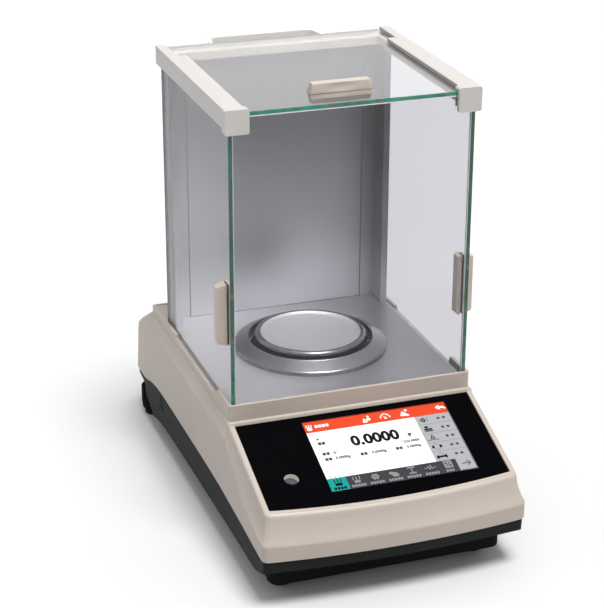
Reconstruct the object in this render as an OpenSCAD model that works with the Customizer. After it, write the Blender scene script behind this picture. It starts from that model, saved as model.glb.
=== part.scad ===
// Analytical balance with a glass draft shield, a round pan and a sloping touch panel.
// Frame: origin at the centre of the footprint on the table, +X right, -Y front, +Z up.

/* [Case] */
// Width of the case at its widest line
case_w = 208; // [204:1:214]
// Height of the rim that the glass stands in
rim_z = 119.5; // [119:0.5:121]
// Wall thickness of the moulded shells
wall = 2.8; // [2.2:0.2:3.2]
// Slope of the control deck in degrees
deck_tilt = 19; // [17:0.5:20]

/* [Draft shield] */
// Outside width of the glass chamber
chamber_w = 191; // [189:0.5:191]
// Thickness of every glass pane
glass_t = 3; // [2.6:0.1:3]
// Overall height of the balance
total_h = 350; // [346:1:360]
// Length of the side door panes
door_len = 181; // [170:1:184]
// Running gap on each side of a sliding pane
glass_gap = 0.35; // [0.3:0.05:0.4]
// Length of a finger grip
grip_len = 49; // [40:1:52]

/* [Weighing] */
// Diameter of the pan
pan_d = 90; // [80:1:92]
// Distance of the pan centre behind the footprint centre
pan_y = 13.5; // [8:0.5:16]
// Outside diameter of the draft ring
ring_d = 123.8; // [118:0.2:128]

/* [Display] */
// Width of the screen's visible area
lcd_w = 116.6; // [108:0.2:120]
// Height of the screen's visible area along the slope
lcd_h = 73.2; // [65:0.2:75]
// Diameter of the level window
level_d = 11.2; // [10:0.2:13]

/* [Feet] */
// Diameter of a levelling foot
foot_d = 21.6; // [19:0.2:21.6]
// Thread diameter of a levelling foot
stud_d = 7.9; // [5.9:1:7.9]

/* [Hidden] */
$fn = 64;
hw = case_w/2;              // half width of the case
ch = chamber_w/2;           // half width of the chamber, outside the glass
gi = ch - glass_t;          // inner face of the side panes
yf = -80.5;                 // outer face of the front pane and the doors' front edges
yfi = yf + glass_t;         // inner face of the front pane
floor_z = rim_z - 3.5;      // top of the floor plate
rear_z = floor_z - 3.6;     // deck behind the back plate, which the doors pass over
rail_z0 = total_h - 14.7;   // underside of the rails
glass_z0 = total_h - 6.2;   // underside of the sliding top pane
glass_z1 = glass_z0 + glass_t;
rail_y1 = 104;              // rear end of the rails
back_y = 98.5;              // front face of the back plate
collar_y0 = -83.4;          // front of the raised collar
collar_y1 = 142.5;          // rear of the raised collar
collar_x = ch + 2.8;        // half width of the raised collar
bow_r = 803.7;              // radius of the bowed front
bow_y = 614.7;              // centre of that radius
deck_y = -85.9;             // top edge of the panel
deck_z = 103.7;
top_z = 106.6;              // flat top of the case round the chamber
pan_c = [0, pan_y];
split = [[-200,39.6],[-184,40.3],[-133,45],[-62,50],[114,50],[152,40.5],[200,35]];
foot_c = [93, 166];
front_foot = [78, -142];
case_screw = [[-86,-112],[86,-112],[-78,118],[78,118]];
mag_y = 68;                 // magnet and coil of the weigh cell
grip_y = yf + 13;           // centre of the side grips behind the front edge
grip_z = 189;               // centre height of the side grips
top_grip_y = yf + 31;       // centre of the top grip
peg_s = 18;                 // a peg's distance from the grip's centre

// ---------- helpers ----------
// outline given in (y,z), extruded along x from x0 to x1
module yz(x0, x1) { translate([x0,0,0]) rotate([90,0,90]) linear_extrude(x1-x0) children(); }
// outline given in (x,z), extruded along y from y0 to y1
module xz(y0, y1) { translate([0,y1,0]) rotate([90,0,0]) linear_extrude(y1-y0) children(); }
module box(a, b) { translate(a) cube([b[0]-a[0], b[1]-a[1], b[2]-a[2]]); }
module deck() { translate([0,deck_y,deck_z]) rotate([deck_tilt,0,0]) children(); }
// rectangle with rounded corners, from corner a to corner b
module rrect(a, b, r) {
  union() {
    translate([a[0]+r,a[1]]) square([b[0]-a[0]-2*r, b[1]-a[1]]);
    translate([a[0],a[1]+r]) square([b[0]-a[0], b[1]-a[1]-2*r]);
    for (x=[a[0]+r,b[0]-r], y=[a[1]+r,b[1]-r]) translate([x,y]) circle(r, $fn=32);
  }
}
module rbox(a, b, r) { translate([0,0,a[2]]) linear_extrude(b[2]-a[2]) rrect([a[0],a[1]],[b[0],b[1]],r); }

// ---------- case ----------
// body of the case below the collar, shrunk by o on every wall
module case_body(o) {
  t = tan(deck_tilt);
  intersection() {
    yz(-hw+o, hw-o) polygon([
      [-195,20],[-195,deck_z+0.8-o*1.5-(195+deck_y)*t],[deck_y,deck_z+0.8-o*1.5],[deck_y,top_z-o],
      [collar_y1,top_z-o],[179.3-o,83-o*0.6],[189-o,40],[189-o,20]]);
    xz(-195, 195) polygon([[-hw+o,20],[-hw+o,54],[-102.8+o,92],[-99.6+o,104],[-99.4+o,top_z],
      [99.4-o,top_z],[99.6-o,104],[102.8-o,92],[hw-o,54],[hw-o,20]]);
    translate([0,bow_y,0]) rotate([0,0,180]) rotate_extrude($fn=240) polygon([[0,20],[bow_r-o,20],[bow_r-o,54.3],[bow_r-3.4-o,61],[794.7-o,74.5],[794.7-o,120],[0,120]]);
  }
}
// chamfer along both sides of the sloping deck
module deck_chamfers(o=0) {
  for (s=[-1,1]) deck() translate([0,-125,0]) rotate([90,0,180]) mirror([1,0,0])
    linear_extrude(127) polygon([[s*(99.5-o),0.9-o],[s*(hw-o),-17-o],[s*120,-17-o],[s*120,20],[s*(99.5-o),20]]);
}
module above_split(d) { yz(-130,130) polygon(concat([for (p=split) [p[0],p[1]+d]], [[200,400],[-200,400]])); }
module below_split(d) { yz(-130,130) polygon(concat([for (p=split) [p[0],p[1]+d]], [[200,-10],[-200,-10]])); }

module upper_housing() color([0.78,0.755,0.72]) difference() {
  union() {
    difference() {
      intersection() { case_body(0); above_split(0); }
      deck_chamfers();
      difference() { case_body(wall); deck_chamfers(wall); }
      // opening that the chamber base covers
      box([-collar_x+3.6,collar_y0+3.6,90],[collar_x-3.6,collar_y1-3.6,top_z+1]);
    }
    // front screw posts
    for (p=case_screw) if (p[1]<0) translate([p[0],p[1],26]) cylinder(r=4.5, h=65.5);
    // level cup seat
    deck() translate([-69.1,-60.5,-6]) cylinder(r=level_d/2+4.2, h=5);
  }
  // recess for the panel overlay, openings for the screen and the level
  intersection() {
    deck() box([-95,-100,-1.2],[95,0.15,10]);
    translate([0,bow_y,0]) cylinder(r=790.1, h=200, $fn=240);
  }
  deck() box([13.4-lcd_w/2-1,-79.5-1,-10],[15+lcd_w/2+1,-6.2+1,5]);
  deck() translate([-69.1,-60.5,-20]) cylinder(r=level_d/2+2, h=30);
  // screw bores
  for (p=case_screw) translate([p[0],p[1],20]) cylinder(r=1.7, h=30);
  // rear port window
  box([-58,175,48],[58,196,76]);
}
// raised frame that the draft shield stands in: rim, door lanes, shelf and rear deck
module chamber_base() color([0.8,0.78,0.745]) difference() {
  union() {
    difference() {
      rbox([-collar_x,collar_y0,top_z],[collar_x,collar_y1,rim_z],3);
      box([-collar_x+2.5,collar_y0+2.5,100],[collar_x-2.5,collar_y1-2.5,rim_z+1]);
    }
    // skirt that locates it in the case
    difference() {
      rbox([-collar_x+3.8,collar_y0+3.8,101],[collar_x-3.8,collar_y1-3.8,floor_z-5],1.5);
      box([-collar_x+5.8,collar_y0+5.8,90],[collar_x-5.8,collar_y1-5.8,rim_z]);
    }
    // shelf under the floor plate, door lanes and the deck behind the chamber
    box([-gi+0.3,yfi+0.2,floor_z-4.5],[gi-0.3,back_y+2.5,floor_z-1.5]);
    box([-collar_x+1,collar_y0+1,floor_z-6.5],[collar_x-1,yfi+0.6,floor_z-3.5]);
    for (s=[-1,1]) {
      box([s>0?gi-0.8:-collar_x+1, collar_y0+1, floor_z-6.5],[s>0?collar_x-1:-gi+0.8, collar_y1-1, floor_z-3.5]);
      // lip between the floor plate and the door
      box([s>0?gi-1.2:-gi+0.2, yfi+0.5, floor_z-4],[s>0?gi-0.2:-gi+1.2, 78.6, floor_z-0.1]);
    }
    box([-gi+0.3,back_y+2.3,rear_z-3],[gi-0.3,collar_y1-1,rear_z]);
    box([-gi+0.3,back_y+2.3,floor_z-4.5],[gi-0.3,back_y+4.8,rear_z]);
    for (s=[-1,1]) box([s>0?gi-2.7:-gi+0.3, back_y+2.3, floor_z-6.5],[s>0?gi-0.3:-gi+2.7, collar_y1-1, rear_z]);
    // rear screw posts
    for (p=case_screw) if (p[1]>0) translate([p[0],p[1],26]) cylinder(r=4.5, h=85.5);
  }
  // lower middle part of the side rims
  for (s=[-1,1]) yz(s>0?gi+0.1:-collar_x-1, s>0?collar_x+1:-gi-0.1) polygon([[-51.5,rim_z+1],[-49.5,floor_z-3.4],[66,floor_z-3.4],[68,rim_z+1]]);
  // the rim falls a little towards the rear
  yz(-collar_x-1,collar_x+1) polygon([[-60,rim_z],[60,rim_z-3],[collar_y1+2,rim_z-6.9],[collar_y1+2,rim_z+2],[-60,rim_z+2]]);
  // stem opening in the shelf
  translate([pan_c[0],pan_c[1],100]) cylinder(r=15, h=20);
  for (p=case_screw) translate([p[0],p[1],20]) cylinder(r=1.7, h=30);
}

module lower_outline(o, z0, z1) {
  intersection() {
    box([-hw+1+o,-192,z0],[hw-1-o,188-o,z1]);
    translate([0,bow_y,z0]) cylinder(r=bow_r-1-o, h=z1-z0, $fn=240);
  }
}
module foot_pocket(o) {
  for (s=[-1,1]) yz(s>0?foot_c[0]-14-o:-130, s>0?130:-foot_c[0]+14+o) polygon([[133-o,5],[133-o,20+o],[150-o,31+o],[200,31+o],[200,5]]);
}
module lower_housing() color([0.17,0.18,0.175]) difference() {
  union() {
    difference() {
      intersection() {
        below_split(0);
        difference() {
          lower_outline(0,20,60);
          yz(-130,130) polygon([[-200,10],[-200,31],[-182,30.5],[-160,19],[-160,10]]);
        }
      }
      foot_pocket(0);
      difference() {
        lower_outline(wall,20+wall,80);
        foot_pocket(wall);
        yz(-130,130) polygon([[-200,10],[-200,33.5],[-180,33],[-158,19+wall],[-158,10]]);
      }
    }
    // belly below the tray
    difference() {
      rbox([-92,-166,9.5],[92,128,21],8);
      rbox([-92+wall,-166+wall,9.5+wall],[92-wall,128-wall,30],5);
    }
    // bosses
    for (p=case_screw) translate([p[0],p[1],10]) cylinder(r=5, h=15.9);
    for (s=[-1,1]) translate([s*foot_c[0],foot_c[1],31]) cylinder(r=6.4, h=16);
    for (s=[-1,1]) translate([s*front_foot[0],front_foot[1],9.5]) cylinder(r=8, h=12);
    // pads that carry the weigh cell and the board
    for (x=[-24,24], y=[34,98]) translate([x,y,11]) cylinder(r=6, h=19);
    for (x=[-60,60], y=[-96,-34]) translate([x,y,11]) cylinder(r=3.5, h=21);
  }
  // tray floor opened over the belly
  difference() {
    box([-92+wall,-166+wall,18],[92-wall,128-wall,24]);
    for (p=case_screw) translate([p[0],p[1],10]) cylinder(r=5, h=15.9);
    for (s=[-1,1]) translate([s*front_foot[0],front_foot[1],9.5]) cylinder(r=8, h=12);
    for (x=[-24,24], y=[34,98]) translate([x,y,11]) cylinder(r=6, h=19);
    for (x=[-60,60], y=[-96,-34]) translate([x,y,11]) cylinder(r=3.5, h=21);
  }
  for (p=case_screw) { translate([p[0],p[1],5]) cylinder(r=1.9, h=30); translate([p[0],p[1],5]) cylinder(r=3.6, h=13); }
  for (s=[-1,1]) translate([s*foot_c[0],foot_c[1],25]) cylinder(r=5, h=30);
  for (s=[-1,1]) translate([s*front_foot[0],front_foot[1],5]) cylinder(r=4, h=12);
  for (x=[-24,24], y=[34,98]) translate([x,y,22]) cylinder(r=1.7, h=20);
  for (x=[-60,60], y=[-96,-34]) translate([x,y,24]) cylinder(r=1.3, h=20);
}

// ---------- control panel ----------
module panel_overlay() color([0.04,0.04,0.045]) difference() {
  intersection() {
    deck() box([-94.8,-99,-1.2],[94.8,0,0]);
    translate([0,bow_y,0]) cylinder(r=789.9, h=200, $fn=240);
  }
  deck() translate([-69.1,-60.5,-5]) cylinder(r=level_d/2, h=10);
}
module lcd_module() color([0.85,0.9,0.92]) deck() union() {
  box([14.9-lcd_w/2-0.5,-79.5-0.5,-4.2],[14.9+lcd_w/2+0.5,-6.2+0.5,-1.2]);
  box([14.9-lcd_w/2-4,-84,-10.5],[14.9+lcd_w/2+4,-2.5,-4.2]);
}
module level_cup() color([0.78,0.755,0.72]) deck() translate([-69.1,-60.5,0]) difference() {
  union() { translate([0,0,-13]) cylinder(r=level_d/2+1.9, h=11.8); translate([0,0,-13]) cylinder(r=level_d/2+4, h=6.9); }
  translate([0,0,-11.5]) cylinder(r=level_d/2+0.5, h=12);
}
module level_vial() color([0.75,0.85,0.6,0.5]) deck() translate([-69.1,-60.5,-11.5]) difference() {
  cylinder(r=level_d/2+0.4, h=5.6);
  translate([0,0,1]) cylinder(r=level_d/2-0.6, h=3.6);
}
module level_bubble() color([0.9,0.95,0.9,0.6]) deck() translate([-69.1,-58.6,-8.0]) scale([1,1,0.42]) sphere(r=1.9, $fn=32);
module display_ribbon() color([0.75,0.7,0.6]) xz_ribbon();
module xz_ribbon() {
  yz(-6, 14) polygon([[-128.2,77.1],[-127.8,77.4],[-119,66],[-97,36.9],[-90.6,34.9],[-90.6,34.5],[-97.3,36.5],[-119.4,65.7]]);
}

// ---------- weighing chamber ----------
module floor_plate() color([0.68,0.68,0.69]) difference() {
  box([-gi+1.3,yfi+0.4,floor_z-1.5],[gi-1.3,back_y,floor_z]);
  for (s=[-1,1]) box([s>0?gi-6.3:-gi-1, back_y-19.3, floor_z-2],[s>0?gi+1:-gi+6.3, back_y+1, floor_z+1]);
  translate([pan_c[0],pan_c[1],100]) cylinder(r=12, h=30);
}
module draft_ring() color([0.6,0.6,0.61]) translate([pan_c[0],pan_c[1],floor_z]) rotate_extrude($fn=128)
  polygon([[ring_d/2,0],[ring_d/2,2.9],[ring_d/2-0.6,3.6],[50.8,9.0],[50.2,9.1],[50,8.8],[50,0],[51.2,0],[51.2,7.6],[ring_d/2-1.2,2.7],[ring_d/2-1.2,0]]);
module weighing_pan() color([0.7,0.7,0.7]) translate([pan_c[0],pan_c[1],floor_z]) difference() {
  union() {
    rotate_extrude($fn=128) polygon(concat([[0,9.8],[pan_d/2-6.6,9.8],[pan_d/2-5.6,9.4],[pan_d/2-4.4,8.0],[pan_d/2-1.6,7.0],[pan_d/2-0.4,7.6]],
      [for (a=[0:15:180]) [pan_d/2-2.9+2.9*cos(a), 10.1+2.9*sin(a)]], [[pan_d/2-6.3,11.2],[0,11.2]]));
    translate([0,0,1.5]) cylinder(r=8, h=9.5);
  }
  translate([0,0,1]) cylinder(r=4.05, h=7);
}

// ---------- weigh cell ----------
module cell_frame() color([0.72,0.73,0.74]) difference() {
  union() {
    box([-30,28,30],[30,106,38]);
    box([-30,88,30],[30,106,92]);
    box([-8,42,37],[8,50,70.9]);
  }
  for (x=[-24,24], y=[34,98]) translate([x,y,20]) cylinder(r=2.2, h=80);
  for (x=[-24,24]) translate([x,98,60]) cylinder(r=4, h=40);
}
module load_receiver() color([0.75,0.76,0.77]) difference() {
  union() {
    box([-24,6,42],[24,21,96]);
    translate([pan_c[0],pan_c[1],90]) cylinder(r=7.4, h=14);
    translate([pan_c[0],pan_c[1],95]) cylinder(r=3.95, h=floor_z+7.5-95);
    box([-3,20,66],[3,30,72]);
  }
  box([-16,5,54],[16,16,84]);
}
// one leaf of the parallelogram, from its frame end to the receiver end
module guide(z) { difference() {
  box([-24,21,z-1.2],[24,88,z+1.2]);
  box([-14,34,z-3],[14,82.5,z+3]);
} }
module upper_guide() color([0.8,0.81,0.82]) guide(88);
module lower_guide() color([0.8,0.81,0.82]) guide(44.5);
module cell_lever() color([0.7,0.71,0.72]) union() {
  box([-5,24,73.2],[5,84,78]);
  box([-8,42,71],[8,50,80]);
  translate([0,mag_y,65.2]) cylinder(r=2.5, h=9);
}
module cell_coil() color([0.72,0.42,0.2]) translate([0,mag_y,0]) difference() {
  union() { translate([0,0,50.5]) cylinder(r=9.9, h=13); translate([0,0,62]) cylinder(r=11, h=3.2); }
  translate([0,0,49]) cylinder(r=8.2, h=13);
}
module magnet_pot() color([0.35,0.36,0.38]) translate([0,mag_y,38]) difference() {
  cylinder(r=13.2, h=22);
  difference() { translate([0,0,6]) cylinder(r=10.8, h=30); cylinder(r=7.4, h=19); }
}
module position_sensor() color([0.1,0.35,0.2]) union() {
  box([-14,86.3,60],[14,88,82]);
  box([6.2,80,70],[9,86.4,80]);
  box([-9,80,70],[-6.2,86.4,80]);
}
module hex_screw(p, l, hr, sr, hh) { translate(p) { cylinder(r=sr, h=l); translate([0,0,l]) cylinder(r=hr, h=hh); } }
module cell_screws() color([0.6,0.6,0.6]) for (x=[-24,24], y=[34,98]) hex_screw([x,y,22.5], y>90?37.5:15.5, 3.6, 1.65, 3);

// ---------- electronics ----------
module main_board() color([0.08,0.32,0.18]) difference() {
  union() {
    box([-66,-102,32],[66,-28,33.6]);
    box([-40,-80,33.5],[-22,-62,36]);
    box([20,-90,33.5],[44,-70,35.5]);
    box([-60,-60,33.5],[-52,-40,42]);
    box([48,-60,33.5],[60,-40,46]);
    box([-8,-90.4,33.5],[16,-86,35.4]);
    for (i=[0:3]) translate([-10+i*9,-44,33.4]) cylinder(r=3, h=9);
  }
  for (x=[-60,60], y=[-96,-34]) translate([x,y,30]) cylinder(r=1.6, h=10);
}
module board_screws() color([0.6,0.6,0.6]) for (x=[-60,60], y=[-96,-34]) hex_screw([x,y,25], 8.6, 2.6, 1.25, 1.8);
module rear_port_plate() color([0.2,0.21,0.21]) difference() {
  union() {
    intersection() { box([-57.6,170,48.4],[57.6,192,75.6]); difference() { case_body(0.6); case_body(wall+1.05); } }
    intersection() { box([-61,160,45],[61,192,79]); difference() { case_body(wall+0.05); case_body(wall+1.85); } }
  }
  translate([-36,160,62]) rotate([-90,0,0]) cylinder(r=5.6, h=40);
  box([2,160,55.2],[34,195,68.8]);
}
module power_jack() color([0.08,0.08,0.08]) difference() {
  union() {
    translate([-36,168,62]) rotate([-90,0,0]) cylinder(r=5.4, h=17);
    box([-42.5,160,55.5],[-29.5,175.6,68.5]);
  }
  difference() { translate([-36,172,62]) rotate([-90,0,0]) cylinder(r=2.75, h=20); translate([-36,160,62]) rotate([-90,0,0]) cylinder(r=1, h=24); }
}
module serial_port() color([0.7,0.7,0.7]) difference() {
  union() { box([2.2,168,55.4],[33.8,186.6,68.6]); box([-2,162,54],[38,175.3,70]); }
  translate([18,180,62]) rotate([90,0,180]) linear_extrude(10) polygon([[-9.4,-4.6],[9.4,-4.6],[8,4.6],[-8,4.6]]);
}

// ---------- feet ----------
module front_feet() color([0.1,0.1,0.1]) for (s=[-1,1]) translate([s*front_foot[0],front_foot[1],0]) union() {
  rotate_extrude($fn=64) polygon([[0,0],[9,0],[10,1.2],[11,9.45],[0,9.45]]);
  translate([0,0,9]) cylinder(r=3.9, h=7.5);
}
module foot_knob(s) { translate([s*foot_c[0],foot_c[1],0]) difference() {
  union() {
    rotate_extrude($fn=64) polygon([[0,2.6],[foot_d/2-4.4,2.6],[foot_d/2-2.2,3.6],[foot_d/2-0.9,5.6],[foot_d/2-0.2,8.6],[foot_d/2,11.5],[foot_d/2,27],[foot_d/2-0.8,28],[0,28]]);
    translate([0,0,27.5]) cylinder(r=stud_d/2, h=23.5);
  }
  translate([0,0,2]) cylinder(r=2.05, h=6.5);
} }
module foot_pad(s) { translate([s*foot_c[0],foot_c[1],0]) union() {
  cylinder(r=8, h=2.4); cylinder(r=2, h=8);
} }
module left_foot_knob() color([0.09,0.09,0.09]) foot_knob(-1);
module right_foot_knob() color([0.09,0.09,0.09]) foot_knob(1);
module left_foot_pad() color([0.15,0.15,0.15]) foot_pad(-1);
module right_foot_pad() color([0.15,0.15,0.15]) foot_pad(1);
module foot_inserts() color([0.75,0.6,0.3]) for (s=[-1,1]) translate([s*foot_c[0],foot_c[1],33]) difference() {
  union() { cylinder(r=4.95, h=13.9); }
  translate([0,0,-1]) cylinder(r=stud_d/2+0.05, h=20);
}

// ---------- glass ----------
module front_glass() color([0.6,0.8,0.75,0.3]) box([-gi+0.2,yf,floor_z-3.4],[gi-0.2,yfi,glass_z0-0.4]);
module door_glass(s) { difference() {
  box([s>0?gi:-ch, yf+0.05, floor_z-3.2],[s>0?ch:-gi, yf+door_len, rail_z0+5]);
  for (k=[-1,1]) translate([s*(gi-1),grip_y,grip_z+k*peg_s]) rotate([0,s*90,0]) cylinder(r=2.2, h=6);
} }
module left_door_glass() color([0.6,0.8,0.75,0.3]) door_glass(-1);
module right_door_glass() color([0.6,0.8,0.75,0.3]) door_glass(1);
module top_glass() color([0.6,0.8,0.75,0.3]) difference() {
  box([-91.2,yf+0.1,glass_z0],[91.2,108,glass_z1]);
  for (k=[-1,1]) translate([k*peg_s,top_grip_y,glass_z0-1]) cylinder(r=2.2, h=6);
}
// grip body: long along x, standing on z=0, with a shallow finger scoop in its front face
module grip_body() { difference() {
  hull() { box([-grip_len/2,-4.9,0],[grip_len/2,4.9,1]); box([-grip_len/2+2,-3.6,7],[grip_len/2-2,3.2,7.8]); }
  translate([0,-23.3,3.4]) scale([1,1,0.35]) sphere(r=20, $fn=64);
  for (k=[-1,1]) translate([k*peg_s,0,-1]) cylinder(r=1.6, h=5);
} }
module grip_clamp() { union() {
  hull() { box([-grip_len/2,-4.9,-1],[grip_len/2,4.9,0]); box([-grip_len/2+1,-4.2,-3],[grip_len/2-1,4.2,-2]); }
  for (k=[-1,1]) translate([k*peg_s,0,-0.5]) { cylinder(r=2.1, h=glass_t+0.4); cylinder(r=1.55, h=glass_t+4); }
} }
// side grips stand upright, their scoop to the front
module left_grip_outer() color([0.72,0.66,0.6]) translate([-ch,grip_y,grip_z]) side_out() grip_body();
module side_out() { rotate([0,-90,0]) children(); }
module right_grip_outer() color([0.72,0.66,0.6]) mirror([1,0,0]) translate([-ch,grip_y,grip_z]) side_out() grip_body();
module left_grip_inner() color([0.7,0.64,0.58]) translate([-gi,grip_y,grip_z]) side_out() grip_clamp();
module right_grip_inner() color([0.7,0.64,0.58]) mirror([1,0,0]) translate([-gi,grip_y,grip_z]) side_out() grip_clamp();
module top_grip_outer() color([0.8,0.75,0.7]) translate([0,top_grip_y,glass_z1]) grip_body();
module top_grip_inner() color([0.7,0.64,0.58]) translate([0,top_grip_y,glass_z0]) grip_clamp();

// ---------- frame ----------
module rail_raw() { difference() {
  xz(-76, rail_y1) polygon([[85,rail_z0],[98.7,rail_z0],[98.7,total_h],[83.1,total_h],[83.1,glass_z1+glass_gap],
    [92,glass_z1+glass_gap],[92,glass_z0-glass_gap],[85,glass_z0-glass_gap]]);
  // door groove from below
  box([gi-glass_gap,-80,rail_z0-1],[ch+glass_gap,rail_y1+1,rail_z0+5+glass_gap]);
  // short lip at the rear
  box([80,67.5,glass_z1],[90.8,rail_y1+1,total_h+1]);
  // seat for the crossbar and the column
  box([84,93,rail_z0-1],[92.5,rail_y1+1,glass_z0]);
  box([84,79,rail_z0-1],[92.5,93.1,rail_z0+2]);
} }
module right_rail() color([0.8,0.79,0.77]) rail_raw();
module left_rail() color([0.8,0.79,0.77]) mirror([1,0,0]) rail_raw();
module cap_raw() { difference() {
  xz(-84.1,-76) rrect([80.5,total_h-18.6],[98.8,total_h],1.6);
  box([80,yf-0.1,total_h-20],[gi+0.05,yfi+0.3,glass_z0-0.3]);
  box([gi-glass_gap,yf-0.1,total_h-20],[ch+glass_gap,-75,rail_z0+5.3]);
  box([80,yf-0.1,glass_z0-glass_gap],[92,-75,glass_z1+glass_gap]);
  box([80,yfi,rail_z0-5],[gi,-75,rail_z0-0.2]);
} }
module right_front_cap() color([0.84,0.83,0.81]) cap_raw();
module left_front_cap() color([0.84,0.83,0.81]) mirror([1,0,0]) cap_raw();
module crossbar() color([0.8,0.76,0.72]) difference() {
  box([-91.8,93.2,rail_z0+0.1],[91.8,112.4,glass_z0-1]);
  box([-77,96,rail_z0-1],[77,113,rail_z0+4.5]);
  for (s=[-1,1]) { translate([s*83,105,rail_z0-2]) cylinder(r=1.8, h=20); translate([s*83,105,glass_z0-3.4]) cylinder(r=3.2, h=6); }
}
module rear_grip() color([0.83,0.82,0.8]) difference() {
  translate([0,0,rail_z0+0.5]) linear_extrude(7.2) polygon([[-51,112.4],[-46,138],[-42,141.6],[-38,142.4],[38,142.4],[42,141.6],[46,138],[51,112.4]]);
  translate([0,0,rail_z0-1]) linear_extrude(12) polygon([[-48,115],[-43.4,137],[-40.5,139.4],[-38,140],[38,140],[40.5,139.4],[43.4,137],[48,115]]);
}
// corner column: box section beside the door lane and a flange behind the chamber
module column_raw() { difference() {
  union() {
    box([86.4,79.2,floor_z-1.4],[91.9,93,rail_z0+1.9]);
    box([86.4,93,floor_z-1.4],[91.9,back_y+1.8,rail_z0-0.05]);
    box([75,back_y,floor_z-1.4],[91.9,back_y+1.8,rail_z0-0.05]);
    box([77.5,back_y-0.2,rail_z0-8],[91.9,110,rail_z0-0.05]);
  }
  box([88,81,floor_z-3],[90.3,back_y+3,rail_z0-9]);
  translate([83,105,rail_z0-9]) cylinder(r=1.3, h=12);
} }
module right_column() color([0.66,0.66,0.68]) column_raw();
module left_column() color([0.66,0.66,0.68]) mirror([1,0,0]) column_raw();
module back_plate() color([0.66,0.66,0.67]) union() {
  box([-74.8,back_y,floor_z-1.4],[74.8,back_y+1.5,rail_z0]);
  box([-74.8,back_y,rail_z0-8],[74.8,back_y+10,rail_z0-6.5]);
}
module frame_screws() color([0.62,0.6,0.58]) for (s=[-1,1]) translate([s*83,105,0]) union() {
  translate([0,0,rail_z0-8]) cylinder(r=1.25, h=14); translate([0,0,glass_z0-3.4]) cylinder(r=3, h=2.2);
}
module case_screws() color([0.55,0.55,0.55]) for (p=case_screw) translate([p[0],p[1],0]) union() {
  translate([0,0,15.6]) cylinder(r=3.3, h=2.4); translate([0,0,17]) cylinder(r=1.6, h=27);
}

upper_housing();
chamber_base();
lower_housing();
panel_overlay();
lcd_module();
level_cup();
level_vial();
level_bubble();
floor_plate();
draft_ring();
weighing_pan();
cell_frame();
load_receiver();
upper_guide();
lower_guide();
cell_lever();
cell_coil();
magnet_pot();
position_sensor();
cell_screws();
main_board();
board_screws();
display_ribbon();
rear_port_plate();
power_jack();
serial_port();
front_feet();
left_foot_knob();
left_foot_pad();
right_foot_knob();
right_foot_pad();
foot_inserts();
front_glass();
left_door_glass();
right_door_glass();
top_glass();
left_grip_outer();
left_grip_inner();
right_grip_outer();
right_grip_inner();
top_grip_outer();
top_grip_inner();
left_rail();
right_rail();
left_front_cap();
right_front_cap();
crossbar();
rear_grip();
left_column();
right_column();
back_plate();
frame_screws();
case_screws();
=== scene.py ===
import bpy, bmesh, math, random
from mathutils import Vector, Matrix


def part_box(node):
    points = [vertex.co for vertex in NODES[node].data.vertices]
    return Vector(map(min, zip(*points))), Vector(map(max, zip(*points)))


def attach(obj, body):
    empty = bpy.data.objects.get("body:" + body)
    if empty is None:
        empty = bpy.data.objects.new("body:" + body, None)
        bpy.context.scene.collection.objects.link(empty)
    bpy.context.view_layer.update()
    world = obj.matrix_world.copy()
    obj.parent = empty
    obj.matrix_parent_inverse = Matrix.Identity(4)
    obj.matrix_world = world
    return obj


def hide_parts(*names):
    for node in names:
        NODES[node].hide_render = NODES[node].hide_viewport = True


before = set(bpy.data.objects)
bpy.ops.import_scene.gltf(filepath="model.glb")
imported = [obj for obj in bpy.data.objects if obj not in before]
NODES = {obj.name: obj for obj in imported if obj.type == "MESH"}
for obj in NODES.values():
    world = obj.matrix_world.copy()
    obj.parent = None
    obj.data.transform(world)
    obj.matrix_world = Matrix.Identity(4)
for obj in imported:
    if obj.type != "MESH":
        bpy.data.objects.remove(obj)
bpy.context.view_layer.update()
MM = 0.001


# ------------------------------------------------------------------ helpers
def lin(c):
    c = c / 255.0
    return c / 12.92 if c <= 0.04045 else ((c + 0.055) / 1.055) ** 2.4


def rgb(r, g, b, a=1.0):
    return (lin(r), lin(g), lin(b), a)


def smooth01(t):
    t = max(0.0, min(1.0, t))
    return t * t * (3 - 2 * t)


def interp(x, pts):
    if x <= pts[0][0]:
        return pts[0][1]
    for (x0, y0), (x1, y1) in zip(pts, pts[1:]):
        if x <= x1:
            return y0 + (y1 - y0) * (x - x0) / (x1 - x0)
    return pts[-1][1]


def mesh_object(name, verts, faces, mats=(), face_mats=None, smooth=True, merge=None):
    """verts in millimetres in the row frame."""
    me = bpy.data.meshes.new(name)
    me.from_pydata([(v[0] * MM, v[1] * MM, v[2] * MM) for v in verts], [], faces)
    for m in mats:
        me.materials.append(m)
    if face_mats:
        for p, k in zip(me.polygons, face_mats):
            p.material_index = k
    bm = bmesh.new()
    bm.from_mesh(me)
    if merge:
        bmesh.ops.remove_doubles(bm, verts=bm.verts, dist=merge * MM)
    bmesh.ops.recalc_face_normals(bm, faces=bm.faces)
    for f in bm.faces:
        f.smooth = smooth
    bm.to_mesh(me)
    bm.free()
    me.update()
    ob = bpy.data.objects.new(name, me)
    bpy.context.scene.collection.objects.link(ob)
    return ob


def add_bevel(ob, width, segments=3, angle=30.0):
    b = ob.modifiers.new("Bevel", "BEVEL")
    b.width = width * MM
    b.segments = segments
    b.limit_method = "ANGLE"
    b.angle_limit = math.radians(angle)
    b.harden_normals = False
    b.use_clamp_overlap = True
    b.miter_outer = "MITER_ARC"
    n = ob.modifiers.new("Normals", "WEIGHTED_NORMAL")
    n.keep_sharp = False
    n.weight = 60
    return b


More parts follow.
